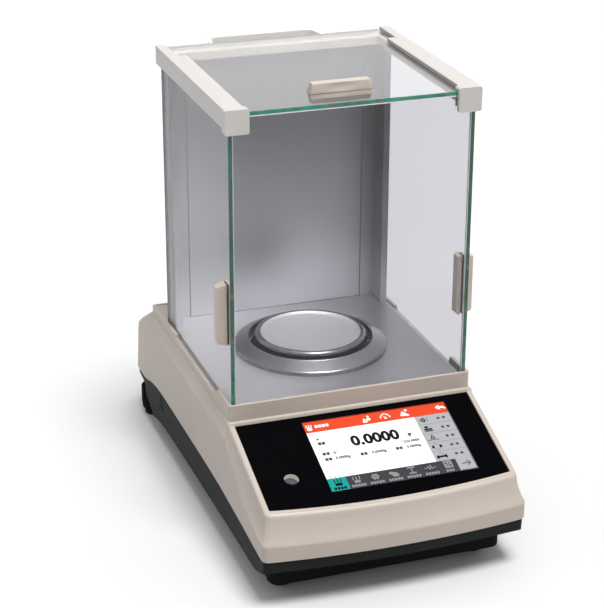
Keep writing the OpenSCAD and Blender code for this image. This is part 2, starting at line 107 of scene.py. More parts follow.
def finish_cad(node, material, bevel=0.0, segments=3, angle=30.0):
    """Gives a carried-over CAD node its material and softened edges."""
    ob = NODES[node]
    ob.data.materials.clear()
    mats = material if isinstance(material, (list, tuple)) else [material]
    for m in mats:
        ob.data.materials.append(m)
    for p in ob.data.polygons:
        p.material_index = 0
        p.use_smooth = True
    w = ob.modifiers.new("Weld", "WELD")
    w.merge_threshold = 0.000002
    if bevel:
        add_bevel(ob, bevel, segments, angle)
    else:
        e = ob.modifiers.new("Normals", "WEIGHTED_NORMAL")
        e.keep_sharp = False
    return ob


def lathe(name, profile, centre, segs=128, material=None, closed=True):
    """profile is a list of (r, z) in millimetres, turned about the vertical through centre."""
    cx, cy, cz = centre
    verts, faces = [], []
    n = len(profile)
    rings = []
    for r, z in profile:
        if r < 1e-6:
            verts.append((cx, cy, cz + z))
            rings.append([len(verts) - 1])
        else:
            base = len(verts)
            for k in range(segs):
                a = 2 * math.pi * k / segs
                verts.append((cx + r * math.cos(a), cy + r * math.sin(a), cz + z))
            rings.append(list(range(base, base + segs)))
    pairs = list(zip(rings, rings[1:])) + ([(rings[-1], rings[0])] if closed and len(rings[-1]) > 1 and len(rings[0]) > 1 else [])
    for a, b in pairs:
        if len(a) == 1 and len(b) == 1:
            continue
        for k in range(segs):
            k2 = (k + 1) % segs
            if len(a) == 1:
                faces.append((a[0], b[k], b[k2]))
            elif len(b) == 1:
                faces.append((a[k], a[k2], b[0]))
            else:
                faces.append((a[k], a[k2], b[k2], b[k]))
    ob = mesh_object(name, verts, faces, [material] if material else [])
    return ob


def fillet_profile(points, radii, steps=5):
    """Rounds the corners of an open (r, z) profile."""
    out = []
    n = len(points)
    for i, p in enumerate(points):
        rad = radii[i]
        if i == 0 or i == n - 1 or rad <= 0:
            out.append(p)
            continue
        a, b = Vector((points[i - 1][0], points[i - 1][1])), Vector((points[i + 1][0], points[i + 1][1]))
        c = Vector((p[0], p[1]))
        d1, d2 = (a - c), (b - c)
        l1, l2 = d1.length, d2.length
        d1.normalize(), d2.normalize()
        ang = math.acos(max(-1, min(1, d1.dot(d2))))
        t = min(rad / math.tan(ang / 2), l1 * 0.48, l2 * 0.48)
        for k in range(steps + 1):
            s = k / steps
            q = (c + d1 * t) * (1 - s) ** 2 + c * 2 * s * (1 - s) + (c + d2 * t) * s ** 2
            out.append((q.x, q.y))
    return out


# ------------------------------------------------------------------ materials
def material(name):
    m = bpy.data.materials.new(name)
    m.use_nodes = True
    nt = m.node_tree
    bsdf = next(n for n in nt.nodes if n.type == "BSDF_PRINCIPLED")
    return m, nt, bsdf


def coords(nt, scale=(1, 1, 1), rotation=(0, 0, 0)):
    tc = nt.nodes.new("ShaderNodeTexCoord")
    mp = nt.nodes.new("ShaderNodeMapping")
    mp.inputs["Scale"].default_value = scale
    mp.inputs["Rotation"].default_value = rotation
    nt.links.new(tc.outputs["Object"], mp.inputs["Vector"])
    return mp.outputs["Vector"]


def noise(nt, vec, scale, detail=3.0, rough=0.5):
    n = nt.nodes.new("ShaderNodeTexNoise")
    n.inputs["Scale"].default_value = scale
    n.inputs["Detail"].default_value = detail
    n.inputs["Roughness"].default_value = rough
    if vec is not None:
        nt.links.new(vec, n.inputs["Vector"])
    return n.outputs["Fac"]


def ramp(nt, fac, stops):
    r = nt.nodes.new("ShaderNodeValToRGB")
    while len(r.color_ramp.elements) < len(stops):
        r.color_ramp.elements.new(0.5)
    for e, (p, c) in zip(r.color_ramp.elements, stops):
        e.position = p
        e.color = c
    nt.links.new(fac, r.inputs["Fac"])
    return r.outputs["Color"]


def remap(nt, fac, a, b, lo=0.0, hi=1.0):
    r = nt.nodes.new("ShaderNodeMapRange")
    r.inputs["From Min"].default_value = lo
    r.inputs["From Max"].default_value = hi
    r.inputs["To Min"].default_value = a
    r.inputs["To Max"].default_value = b
    nt.links.new(fac, r.inputs["Value"])
    return r.outputs["Result"]


def mix_rgb(nt, fac, a, b, mode="MIX"):
    m = nt.nodes.new("ShaderNodeMix")
    m.data_type = "RGBA"
    m.blend_type = mode
    for sock, val in ((m.inputs[0], fac), (m.inputs[6], a), (m.inputs[7], b)):
        if hasattr(val, "is_output"):
            nt.links.new(val, sock)
        elif sock == m.inputs[0]:
            sock.default_value = val
        else:
            sock.default_value = val
    return m.outputs[2]


def math_node(nt, op, a, b=None, clamp=False):
    m = nt.nodes.new("ShaderNodeMath")
    m.operation = op
    m.use_clamp = clamp
    for k, v in ((0, a), (1, b)):
        if v is None:
            continue
        if hasattr(v, "is_output"):
            nt.links.new(v, m.inputs[k])
        else:
            m.inputs[k].default_value = v
    return m.outputs[0]


def bump(nt, bsdf, height, distance, strength=1.0):
    b = nt.nodes.new("ShaderNodeBump")
    b.inputs["Strength"].default_value = strength
    b.inputs["Distance"].default_value = distance
    nt.links.new(height, b.inputs["Height"])
    nt.links.new(b.outputs["Normal"], bsdf.inputs["Normal"])
    return b


def plastic(name, c1, c2, rough=(0.42, 0.56), grain=1400.0, depth=0.00006, spec=0.45, coat=0.0):
    m, nt, b = material(name)
    v = coords(nt)
    big = noise(nt, v, 7.0, 4.0, 0.55)
    fine = noise(nt, v, grain, 2.0, 0.6)
    col = mix_rgb(nt, remap(nt, big, 0.0, 1.0, 0.3, 0.7), c1, c2)
    geo = nt.nodes.new("ShaderNodeNewGeometry")
    # painted highlight: convex edges, found by pointiness, are mixed towards a paler colour as if they caught the light
    edge = remap(nt, geo.outputs["Pointiness"], 0.0, 0.35, 0.51, 0.58)
    painted_edge_highlight_col = tuple(min(1.0, x * 1.12) for x in c2[:3]) + (1.0,)
    col = mix_rgb(nt, edge, col, painted_edge_highlight_col)
    nt.links.new(col, b.inputs["Base Color"])
    nt.links.new(remap(nt, fine, rough[0], rough[1], 0.3, 0.7), b.inputs["Roughness"])
    b.inputs["Specular IOR Level"].default_value = spec
    if coat:
        b.inputs["Coat Weight"].default_value = coat
        b.inputs["Coat Roughness"].default_value = 0.12
    bump(nt, b, fine, depth, 0.35)
    return m


def metal(name, c1, c2, rough=(0.28, 0.42), scale=(1, 1, 1), stretch=None, metallic=1.0, grain=900.0, depth=0.00002, aniso=0.0, coarse=6.0):
    m, nt, b = material(name)
    v = coords(nt, stretch or scale)
    streak = noise(nt, v, grain, 3.0, 0.6)
    big = noise(nt, coords(nt), coarse, 3.0, 0.5)
    col = mix_rgb(nt, remap(nt, streak, 0.0, 1.0, 0.25, 0.75), c1, c2)
    col = mix_rgb(nt, remap(nt, big, 0.0, 0.25, 0.35, 0.7), col, tuple(x * 0.85 for x in c1[:3]) + (1.0,))
    nt.links.new(col, b.inputs["Base Color"])
    nt.links.new(remap(nt, streak, rough[0], rough[1], 0.25, 0.75), b.inputs["Roughness"])
    b.inputs["Metallic"].default_value = metallic
    if aniso:
        b.inputs["Anisotropic"].default_value = aniso
    bump(nt, b, streak, depth, 0.4)
    return m


CASE = plastic("case_light", rgb(161, 151, 142), rgb(167, 157, 148), (0.36, 0.48), 1500, 0.00004)
FRAME = plastic("frame_light", rgb(173, 170, 165), rgb(179, 176, 171), (0.36, 0.48), 1700, 0.00003)
# darker copy of the frame plastic: painted shade for the crossbar and the rails' inner faces
FRAME_PAINTED_SHADE = plastic("frame_painted_shade", rgb(146, 139, 131), rgb(152, 145, 137), (0.4, 0.52), 1700, 0.00003)
# paler copy of the frame plastic: painted light for the rear grip, whose front lies in shade
FRAME_PAINTED_LIGHT = plastic("frame_painted_light", rgb(226, 222, 216), rgb(232, 228, 222), (0.4, 0.52), 1700, 0.00003)
GRIP = plastic("grip_beige", rgb(174, 161, 151), rgb(181, 169, 159), (0.38, 0.5), 1600, 0.00004)
GRIP_IN = plastic("grip_clamp", rgb(168, 156, 147), rgb(176, 164, 155), (0.45, 0.55), 1600, 0.00004)
DARK = plastic("case_dark", rgb(26, 29, 28), rgb(32, 36, 35), (0.5, 0.62), 1300, 0.00008, 0.06)
UNDER = plastic("under_black", rgb(14, 15, 15), rgb(20, 21, 21), (0.6, 0.7), 1300, 0.00006, 0.05)
BLACKP = plastic("black_plastic", rgb(14, 14, 15), rgb(20, 20, 21), (0.35, 0.5), 1300, 0.00006, 0.4)
WELL_PAINTED_SHADE = plastic("well_painted_shade", rgb(10, 10, 11), rgb(15, 15, 16), (0.5, 0.6), 1300, 0.00006, 0.2)
RUBBER = plastic("foot_rubber", rgb(18, 18, 18), rgb(26, 26, 26), (0.7, 0.85), 900, 0.0001, 0.3)
PORTP = plastic("port_plate", rgb(33, 36, 36), rgb(39, 42, 42), (0.45, 0.6), 1300, 0.00008, 0.35)
BOARD = plastic("board_green", rgb(18, 84, 52), rgb(24, 98, 60), (0.3, 0.45), 600, 0.00003)
RIBBON = plastic("ribbon", rgb(176, 160, 132), rgb(190, 175, 147), (0.4, 0.5), 500, 0.00003)

STEEL_SCREW = metal("screw_steel", rgb(150, 146, 140), rgb(176, 172, 166), (0.25, 0.4), grain=700)
BRASS = metal("insert_brass", rgb(184, 152, 86), rgb(205, 172, 104), (0.25, 0.35), stretch=(1, 1, 12), grain=500)
NICKEL = metal("port_metal", rgb(170, 170, 172), rgb(198, 198, 200), (0.18, 0.3), grain=500)
ALU = metal("cell_alu", rgb(176, 178, 182), rgb(196, 198, 202), (0.28, 0.42), stretch=(1, 12, 1), grain=300)
IRON = metal("magnet_iron", rgb(96, 98, 102), rgb(120, 122, 126), (0.35, 0.5), grain=400)
COPPER = metal("copper_wire", rgb(170, 92, 50), rgb(208, 124, 72), (0.25, 0.4), stretch=(0.05, 0.05, 6), grain=500)


def panel_black():
    m, nt, b = material("panel_black")
    v = coords(nt)
    n = noise(nt, v, 900.0, 2.0)
    col = mix_rgb(nt, n, rgb(4, 4, 6), rgb(8, 8, 10))
    nt.links.new(col, b.inputs["Base Color"])
    nt.links.new(remap(nt, n, 0.2, 0.27), b.inputs["Roughness"])
    b.inputs["Specular IOR Level"].default_value = 0.02
    b.inputs["IOR"].default_value = 1.12
    return m


PANEL = panel_black()


def plate_steel():
    """Chamber floor: satin steel with fine rolling marks, and painted shade that darkens it towards +X."""
    m, nt, b = material("plate_steel")
    streak = noise(nt, coords(nt, (1, 14, 1)), 260.0, 4.0, 0.65)
    speck = noise(nt, coords(nt), 2200.0, 2.0, 0.6)
    big = noise(nt, coords(nt), 9.0, 3.0, 0.5)
    f = math_node(nt, "ADD", math_node(nt, "MULTIPLY", streak, 0.5), math_node(nt, "MULTIPLY", speck, 0.5))
    col = mix_rgb(nt, remap(nt, f, 0.0, 1.0, 0.3, 0.7), rgb(188, 187, 189), rgb(213, 212, 214))
    col = mix_rgb(nt, remap(nt, big, 0.0, 0.3, 0.4, 0.75), col, rgb(182, 181, 184))
    # painted shade: the plate is darkened towards +X
    tc = nt.nodes.new("ShaderNodeTexCoord")
    sep = nt.nodes.new("ShaderNodeSeparateXYZ")
    nt.links.new(tc.outputs["Object"], sep.inputs[0])
    across = remap(nt, sep.outputs["X"], 0.0, 0.9, -0.085, 0.075)
    across.node.interpolation_type = "SMOOTHSTEP"
    col = mix_rgb(nt, across, col, rgb(136, 135, 138))
    nt.links.new(col, b.inputs["Base Color"])
    nt.links.new(remap(nt, f, 0.26, 0.36, 0.3, 0.7), b.inputs["Roughness"])
    b.inputs["Metallic"].default_value = 0.72
    bump(nt, b, f, 0.00002, 0.5)
    return m


def back_steel(name="back_steel", gain=0.0, painted_reflection_band=True):
    """Back plate: satin metal whose tone carries painted light and shade: painted shade towards the top and the right,
    painted light towards the bottom, in a soft arc above the pan and in a patch on the left, a painted shadow spot just
    above the arc, and an optional paler painted reflection strip across the top.
    """
    m, nt, b = material(name)
    tc = nt.nodes.new("ShaderNodeTexCoord")
    sep = nt.nodes.new("ShaderNodeSeparateXYZ")
    nt.links.new(tc.outputs["Object"], sep.inputs[0])
    X, Z = sep.outputs["X"], sep.outputs["Z"]

    def painted_spot(cx, cz, sx, sz):
        dx = math_node(nt, "DIVIDE", math_node(nt, "SUBTRACT", X, cx), sx)
        dz = math_node(nt, "DIVIDE", math_node(nt, "SUBTRACT", Z, cz), sz)
        r2 = math_node(nt, "ADD", math_node(nt, "MULTIPLY", dx, dx), math_node(nt, "MULTIPLY", dz, dz))
        return math_node(nt, "POWER", 2.718, math_node(nt, "MULTIPLY", r2, -1.0))

    # painted light and shade: tone rises towards the bottom and in spots above the pan and on the left, drops in a
    # painted shadow spot, and drops towards the top and the right
    painted_light_bottom = remap(nt, Z, 1.0, 0.0, 0.118, 0.178)
    painted_light_bottom.node.interpolation_type = "SMOOTHSTEP"
    light = math_node(nt, "ADD", math_node(nt, "MULTIPLY", painted_light_bottom, 0.42), math_node(nt, "MULTIPLY", painted_spot(0.030, 0.150, 0.052, 0.042), 0.42))
    light = math_node(nt, "ADD", light, math_node(nt, "MULTIPLY", painted_spot(-0.085, 0.190, 0.040, 0.110), 0.20))
    light = math_node(nt, "SUBTRACT", light, math_node(nt, "MULTIPLY", painted_spot(-0.012, 0.166, 0.026, 0.024), 0.16))
    painted_shade_top = remap(nt, Z, 0.0, 0.22, 0.20, 0.30)
    painted_shade_top.node.interpolation_type = "SMOOTHSTEP"
    light = math_node(nt, "SUBTRACT", light, painted_shade_top)
    right = remap(nt, X, 0.0, 0.14, 0.060, 0.090)
    light = math_node(nt, "ADD", math_node(nt, "SUBTRACT", light, right), 0.25 + gain, True)
    speck = noise(nt, coords(nt), 1500.0, 3.0, 0.7)
    f = math_node(nt, "ADD", light, remap(nt, speck, -0.06, 0.06, 0.3, 0.7), True)
    col = mix_rgb(nt, f, rgb(86, 86, 89), rgb(192, 192, 196))
    # optional painted reflection: a paler strip across the top of the plate
    if painted_reflection_band:
        top = remap(nt, Z, 0.0, 1.0, 0.2835, 0.2885)
        top.node.interpolation_type = "SMOOTHSTEP"
        col = mix_rgb(nt, top, col, mix_rgb(nt, speck, rgb(146, 146, 150), rgb(172, 172, 176)))
    nt.links.new(col, b.inputs["Base Color"])
    nt.links.new(remap(nt, speck, 0.4, 0.52, 0.3, 0.7), b.inputs["Roughness"])
    b.inputs["Metallic"].default_value = 0.35
    bump(nt, b, speck, 0.00004, 0.5)
    return m


FLOORPLATE = plate_steel()
# the back plate and columns carry the painted light and shade of back_steel
BACKPLATE = back_steel("back_steel", 0.0, False)
COLUMN = back_steel("column_steel", -0.02, False)
SEAM = plastic("seam_dark", rgb(66, 66, 68), rgb(78, 78, 80), (0.5, 0.6), 900, 0.00002)
SEAL = plastic("seal_grey", rgb(118, 119, 124), rgb(134, 135, 140), (0.5, 0.6), 900, 0.00002)


def ring_metal(name, c1, c2, centre, rough, metallic=0.9):
    """Turned metal: fine marks round the centre."""
    m, nt, b = material(name)
    tc = nt.nodes.new("ShaderNodeTexCoord")
    mp = nt.nodes.new("ShaderNodeMapping")
    mp.inputs["Location"].default_value = (-centre[0], -centre[1], 0)
    nt.links.new(tc.outputs["Object"], mp.inputs["Vector"])
    sep = nt.nodes.new("ShaderNodeSeparateXYZ")
    nt.links.new(mp.outputs["Vector"], sep.inputs[0])
    r2 = math_node(nt, "ADD", math_node(nt, "MULTIPLY", sep.outputs["X"], sep.outputs["X"]), math_node(nt, "MULTIPLY", sep.outputs["Y"], sep.outputs["Y"]))
    r = math_node(nt, "SQRT", r2)
    comb = nt.nodes.new("ShaderNodeCombineXYZ")
    nt.links.new(r, comb.inputs["X"])
    marks = noise(nt, comb.outputs["Vector"], 2600.0, 3.0, 0.7)
    speck = noise(nt, coords(nt), 1700.0, 2.0, 0.6)
    f = math_node(nt, "ADD", math_node(nt, "MULTIPLY", marks, 0.55), math_node(nt, "MULTIPLY", speck, 0.45))
    col = mix_rgb(nt, remap(nt, f, 0.0, 1.0, 0.3, 0.7), c1, c2)
    nt.links.new(col, b.inputs["Base Color"])
    nt.links.new(remap(nt, f, rough[0], rough[1], 0.3, 0.7), b.inputs["Roughness"])
    b.inputs["Metallic"].default_value = metallic
    bump(nt, b, f, 0.00001, 0.4)
    return m


PAN_C = (0.0, 0.0135)
RING = ring_metal("ring_metal", rgb(130, 129, 131), rgb(158, 157, 159), PAN_C, (0.2, 0.3), 0.95)
PAN = ring_metal("pan_steel", rgb(182, 182, 180), rgb(198, 198, 196), PAN_C, (0.36, 0.48), 0.7)
# darker copy of the pan steel for the rolled rim, underside and hub: painted shade and reflection of the dark gap that
# the rim mirrors
PAN_SHADED_STEEL = ring_metal("pan_rim_painted_shade", rgb(140, 140, 140), rgb(162, 162, 162), PAN_C, (0.16, 0.26), 1.0)


def glass(name, tint, ior):
    """Clear pane: refracts for the eye, lets lamps through."""
    m, nt, b = material(name)
    out = next(n for n in nt.nodes if n.type == "OUTPUT_MATERIAL")
    b.inputs["Base Color"].default_value = tint
    b.inputs["Transmission Weight"].default_value = 1.0
    b.inputs["Roughness"].default_value = 0.0
    b.inputs["IOR"].default_value = ior
    lp = nt.nodes.new("ShaderNodeLightPath")
    tr = nt.nodes.new("ShaderNodeBsdfTransparent")
    tr.inputs["Color"].default_value = (0.92, 0.925, 0.935, 1)
    mx = nt.nodes.new("ShaderNodeMixShader")
    nt.links.new(lp.outputs["Is Shadow Ray"], mx.inputs[0])
    nt.links.new(b.outputs[0], mx.inputs[1])
    nt.links.new(tr.outputs[0], mx.inputs[2])
    nt.links.new(mx.outputs[0], out.inputs["Surface"])
    return m


def glass_edge(name, dark, mid, bright, axis_z=True, marks=None):
    """Ground edge of a pane, where the glass shows its own green, with brighter patches painted in for light carried
    along the pane.
    """
    m, nt, b = material(name)
    v = coords(nt, (1, 1, 0.35) if axis_z else (0.35, 1, 1))
    n = noise(nt, v, 420.0, 4.0, 0.75)
    n2 = noise(nt, coords(nt), 60.0, 2.0, 0.5)
    tc = nt.nodes.new("ShaderNodeTexCoord")
    sep = nt.nodes.new("ShaderNodeSeparateXYZ")
    nt.links.new(tc.outputs["Object"], sep.inputs[0])
    # painted light: brighter green patches, stronger towards the bottom of the pane
    painted_light_bottom = remap(nt, sep.outputs["Z"], 1.0, 0.25, 0.13, 0.2)
    f = math_node(nt, "MULTIPLY", remap(nt, n, 0.0, 1.0, 0.42, 0.62), painted_light_bottom, True)
    col = mix_rgb(nt, remap(nt, n2, 0.0, 1.0, 0.35, 0.65), dark, mid)
    col = mix_rgb(nt, f, col, bright)
    if marks:
        # the grip's pegs show through the ground edge
        axis, places = marks
        for q in places:
            away = math_node(nt, "ABSOLUTE", math_node(nt, "SUBTRACT", sep.outputs[axis], q))
            col = mix_rgb(nt, remap(nt, away, 0.85, 0.0, 0.0017, 0.0024), col, rgb(84, 82, 72))
    nt.links.new(col, b.inputs["Base Color"])
    nt.links.new(remap(nt, n, 0.12, 0.3), b.inputs["Roughness"])
    b.inputs["Specular IOR Level"].default_value = 0.5
    b.inputs["Coat Weight"].default_value = 0.3
    b.inputs["Coat Roughness"].default_value = 0.08
    return m


GLASS = glass("pane_glass", (0.812, 0.815, 0.84, 1), 1.12)
GLASS_TOP = glass("pane_glass_top", (0.90, 0.903, 0.912, 1), 1.45)
GLASS_FRONT = glass("pane_glass_front", (0.815, 0.818, 0.84, 1), 1.3)
EDGE_SIDE = glass_edge("pane_edge_side", rgb(18, 56, 40), rgb(30, 76, 56), rgb(0, 122, 90), marks=("Z", (0.171, 0.207)))
EDGE_TOP = glass_edge("pane_edge_top", rgb(18, 84, 62), rgb(30, 118, 90), rgb(60, 165, 135), False, marks=("X", (-0.018, 0.018)))
EDGE_GREY = plastic("pane_edge_grey", rgb(112, 116, 122), rgb(128, 132, 138), (0.12, 0.25), 900, 0.00001)
EDGE_REAR = plastic("pane_edge_rear", rgb(118, 146, 132), rgb(134, 160, 146), (0.12, 0.25), 900, 0.00001)
EDGE_PALE = plastic("pane_edge_pale", rgb(176, 180, 184), rgb(190, 193, 198), (0.12, 0.25), 900, 0.00001)


def screen(name, c, strength=0.75, grad=True):
    m, nt, b = material(name)
    v = coords(nt)
    n = noise(nt, v, 3000.0, 1.0)
    col = mix_rgb(nt, n, c, tuple(x * 0.985 for x in c[:3]) + (1,))
    nt.links.new(mix_rgb(nt, 1.0, col, (0.28, 0.28, 0.28, 1), "MULTIPLY"), b.inputs["Base Color"])
    nt.links.new(col, b.inputs["Emission Color"])
    b.inputs["Emission Strength"].default_value = strength
    b.inputs["Roughness"].default_value = 0.35
    b.inputs["Specular IOR Level"].default_value = 0.04
    return m


S_WHITE = screen("screen_white", rgb(255, 255, 255), 0.8)
S_ORANGE = screen("screen_orange", rgb(236, 78, 44), 0.62)
S_ORANGE_PAINTED_SHADE = screen("screen_orange_shade", rgb(150, 56, 36), 0.62)
S_GREY = screen("screen_grey", rgb(180, 181, 184), 0.62)
S_GREY_PAINTED_SHADE = screen("screen_grey_shade", rgb(112, 113, 116), 0.62)
S_DARK = screen("screen_dark", rgb(66, 67, 69), 0.62)
S_TEAL = screen("screen_teal", rgb(28, 162, 152), 0.62)
S_INK = screen("screen_ink", rgb(20, 20, 22), 0.5)
S_SOFT = screen("screen_soft_ink", rgb(74, 75, 78), 0.6)
S_MID = screen("screen_mid", rgb(150, 151, 154), 0.62)
S_LINE = screen("screen_line", rgb(148, 150, 154), 0.62)
S_FAINT = screen("screen_faint", rgb(206, 207, 210), 0.66)

VIAL_LIQ, _nt, _b = material("vial_liquid")
_n = noise(_nt, coords(_nt), 300.0, 2.0)
_nt.links.new(mix_rgb(_nt, _n, rgb(58, 68, 71), rgb(70, 80, 82)), _b.inputs["Base Color"])
_b.inputs["Roughness"].default_value = 0.1
_b.inputs["Coat Weight"].default_value = 0.6
_b.inputs["Coat Roughness"].default_value = 0.05
BUBBLE, _nt, _b = material("vial_bubble")
_n = noise(_nt, coords(_nt), 200.0, 2.0)
_nt.links.new(mix_rgb(_nt, _n, rgb(196, 210, 200), rgb(214, 224, 216)), _b.inputs["Base Color"])
_b.inputs["Roughness"].default_value = 0.08
_b.inputs["Coat Weight"].default_value = 0.5
_b.inputs["Coat Roughness"].default_value = 0.04

# ------------------------------------------------------------------ case
TAN = math.tan(math.radians(19.0))
COS = math.cos(math.radians(19.0))
SIN = math.sin(math.radians(19.0))
DY, DZ = -85.9, 103.7
TOP_Z = 106.6
BOW_Y = 614.7
SPLIT = [(-200, 39.6), (-184, 40.3), (-133, 45), (-62, 50), (114, 50), (152, 40.5), (200, 35)]


def split_z(y):
    # softened version of the joint line between the light and the dark shell
    s = 0.0
    for k in (-8, -4, 0, 4, 8):
        s += interp(y + k, SPLIT)
    return s / 5


def top_z(y):
    if y <= -85.97:
        return DZ + 0.8 + (y - DY) * TAN
    if y < -85.0:
        t = (y + 85.97) / 0.97
        return (DZ + 0.8) * (1 - t) + TOP_Z * t
    if y <= 142.5:
        return TOP_Z
    return TOP_Z + (83.0 - TOP_Z) * (y - 142.5) / (179.3 - 142.5)


EDGE_R = 2.0
H_FRONT = 34.7


def edge_in(w, height, r=EDGE_R):
    """How far the surface has come in where it turns over into the top."""
    w0 = 1 - r / height
    if w <= w0:
        return 0.0
    t = (w - w0) / (1 - w0)
    return r * (1 - math.sqrt(max(0.0, 1 - t * t)))


def front_y(x, w):
    r = interp(w, [(0, 803.4), (0.41, 803.7), (0.47, 802.6), (0.55, 800.9), (0.64, 799.2), (0.82, 796.6), (1.0, 794.7)])
    return BOW_Y - math.sqrt(r * r - x * x) + edge_in(w, H_FRONT)


def rear_y(w):
    return 189.0 + (179.3 - 189.0) * w - edge_in(w, 46.0, 1.5)


def half_w(y, w, corner_y):
    # the shoulder runs along the side and drops to the ledge at the front corner
    k = smooth01((-62.0 - y) / 105.0)
    wc = 0.80 - 0.345 * k
    full = w
    if y > 114.0:
        # towards the rear the shoulder keeps its height while the top falls away
        zb = split_z(y)
        t = smooth01((y - 114.0) / 16.0)
        w = w * (1 - t) + t * min(1.0, max(0.0, (zb + w * (top_z(y) - zb) - 50.0) / (TOP_Z - 50.0)))
    if w <= 0.41:
        v = 103.95 + 0.05 * min(1.0, w / 0.05)
    elif w <= wc:
        v = 104.0 - 0.95 * ((w - 0.41) / (wc - 0.41)) ** 1.5
    else:
        t = (w - wc) / (1 - wc)
        v = 103.05 - (103.05 - 99.5) * (1 - (1 - t) ** (1.7 + 0.7 * k))
    v -= edge_in(full, top_z(max(y, -180.0)) - split_z(y), 1.9)
    if y > 150.5:
        v -= 2.0 * (y - 150.5) / 34.0
    return v


def round_corner(x, y, w, yf, yr, rf=4.5, rr=3.5):
    s = 1 if x >= 0 else -1
    ax = abs(x)
    for rc, b in ((rf, (yf + rf - y) / rf), (rr, (y - (yr - rr)) / rr)):
        a = (ax - (w - rc)) / rc
        if a > 0 and b > 0:
            a, b = min(a, 1), min(b, 1)
            a2 = a * math.sqrt(1 - b * b / 2)
            b2 = b * math.sqrt(1 - a * a / 2)
            ax = w - rc + rc * a2
            if rc == rf:
                y = yf + rc - rc * b2
            else:
                y = yr - rc + rc * b2
            break
    return s * ax, y


U_EDGE = 97.6
U_TOP = [97.6, 97.2, 96.4, 95.5, 94.95, 94.85, 94.0, 86.0, 77.2, 69.0, 61.0, 58.0, 44.6, 30.0, 15.0]
U_COLS = sorted(set([-x for x in U_TOP] + [0.0] + U_TOP + [74.3]))
ROWS = ([("F", d) for d in (0.0, 0.6, 1.5, 2.5, 2.6, 2.62, 3.6)] +
        [("M", y) for y in (-166.0, -162.0, -150.7, -143.0, -135.5, -120.0, -105.0, -90.8, -87.0, -86.0, -85.97, -85.0, -84.0,
                            -78.0, -40.0, 10.0, 70.0, 105.0, 126.0, 134.0, 139.5, 141.9, 143.2, 145.5, 149.4, 150.5, 151.6, 158.0, 168.0)] +
        [("R", d) for d in (3.5, 2.0, 0.9, 0.25, 0.0)])
W_ROWS = [0.0, 0.025, 0.09, 0.222, 0.36, 0.41, 0.435, 0.46, 0.50, 0.55, 0.60, 0.67, 0.74, 0.785, 0.80, 0.82, 0.86, 0.90, 0.942, 0.962, 0.975, 0.988, 0.997, 1.0]


def shell_point(u, row, w):
    kind, v = row
    if kind == "F":
        y = front_y(u * 100.5, w) + v
    elif kind == "R":
        y = rear_y(w) - v
    else:
        y = v
        if v > 151.6:
            y = 151.6 + (rear_y(w) - 3.5 - 151.6) * (v - 151.6) / (175.8 - 151.6)
    W = half_w(y, w, 0)
    x = u * W
    yf = front_y(x, w)
    if kind == "F":
        y = yf + v
    x, y = round_corner(x, y, W, yf, rear_y(w))
    zb = split_z(y)
    z = zb + w * (top_z(y) - zb)
    if w >= 1.0 and kind == "F":
        # the lip between the panel and the rounded edge is level with the deck
        z = zb + (top_z(y) - zb)
    return x, y, z


def grid_faces(base, nu, nv, skip=None):
    out = []
    for j in range(nv - 1):
        for i in range(nu - 1):
            if skip and skip(i, j):
                continue
            a = base + j * nu + i
            out.append((a, a + 1, a + 1 + nu, a + nu))
    return out


def build_upper():
    verts, faces = [], []
    nu, nr, nw = len(U_COLS), len(ROWS), len(W_ROWS)
    us = [x / U_EDGE for x in U_COLS]
    i_lo, i_hi = U_COLS.index(-94.85), U_COLS.index(94.85)
    j_lo = ROWS.index(("F", 2.62))
    j_hi = ROWS.index(("M", -86.0))
    # top
    base = len(verts)
    for j, row in enumerate(ROWS):
        for i, u in enumerate(us):
            x, y, z = shell_point(u, row, 1.0)
            if i_lo <= i <= i_hi and j_lo <= j <= j_hi:
                z -= 0.8 + 1.2 / COS + 0.1
            verts.append((x, y, z))

    def hole(i, j):
        x = (U_COLS[i] + U_COLS[i + 1]) / 2
        ya, yb = verts[base + j * nu + i][1], verts[base + (j + 1) * nu + i][1]
        y = (ya + yb) / 2
        if -77.3 < x < -60.9 and -150.7 < y < -135.5:
            return True
        if -44.7 < x < 74.4 and -162.0 < y < -90.8:
            return True
        return -94.2 < x < 94.2 and -78.0 < y < 126.0

    faces += grid_faces(base, nu, nr, hole)
    # front and rear
    for row, flip in ((ROWS[0], False), (ROWS[-1], True)):
        b2 = len(verts)
        for w in W_ROWS:
            for u in us:
                verts.append(shell_point(u, row, w))

        def window(i, j, flip=flip):
            x = (U_COLS[i] + U_COLS[i + 1]) / 2
            w = (W_ROWS[j] + W_ROWS[j + 1]) / 2
            return flip and -58.1 < x < 58.1 and 0.222 < w < 0.86
        faces += grid_faces(b2, nu, nw, window)
    # sides
    for u in (-1.0, 1.0):
        b2 = len(verts)
        for w in W_ROWS:
            for row in ROWS:
                verts.append(shell_point(u, row, w))
        faces += grid_faces(b2, nr, nw)
    ob = mesh_object("upper_shell", verts, faces, [CASE], merge=0.004)
    # the open skin is given its wall
    sub = ob.modifiers.new("Smooth", "SUBSURF")
    sub.levels = sub.render_levels = 2
    sol = ob.modifiers.new("Wall", "SOLIDIFY")
    sol.thickness = 2.4 * MM
    sol.offset = -1.0
    sol.use_even_offset = False
    return ob


upper = build_upper()
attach(upper, "base")
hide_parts("upper_housing")


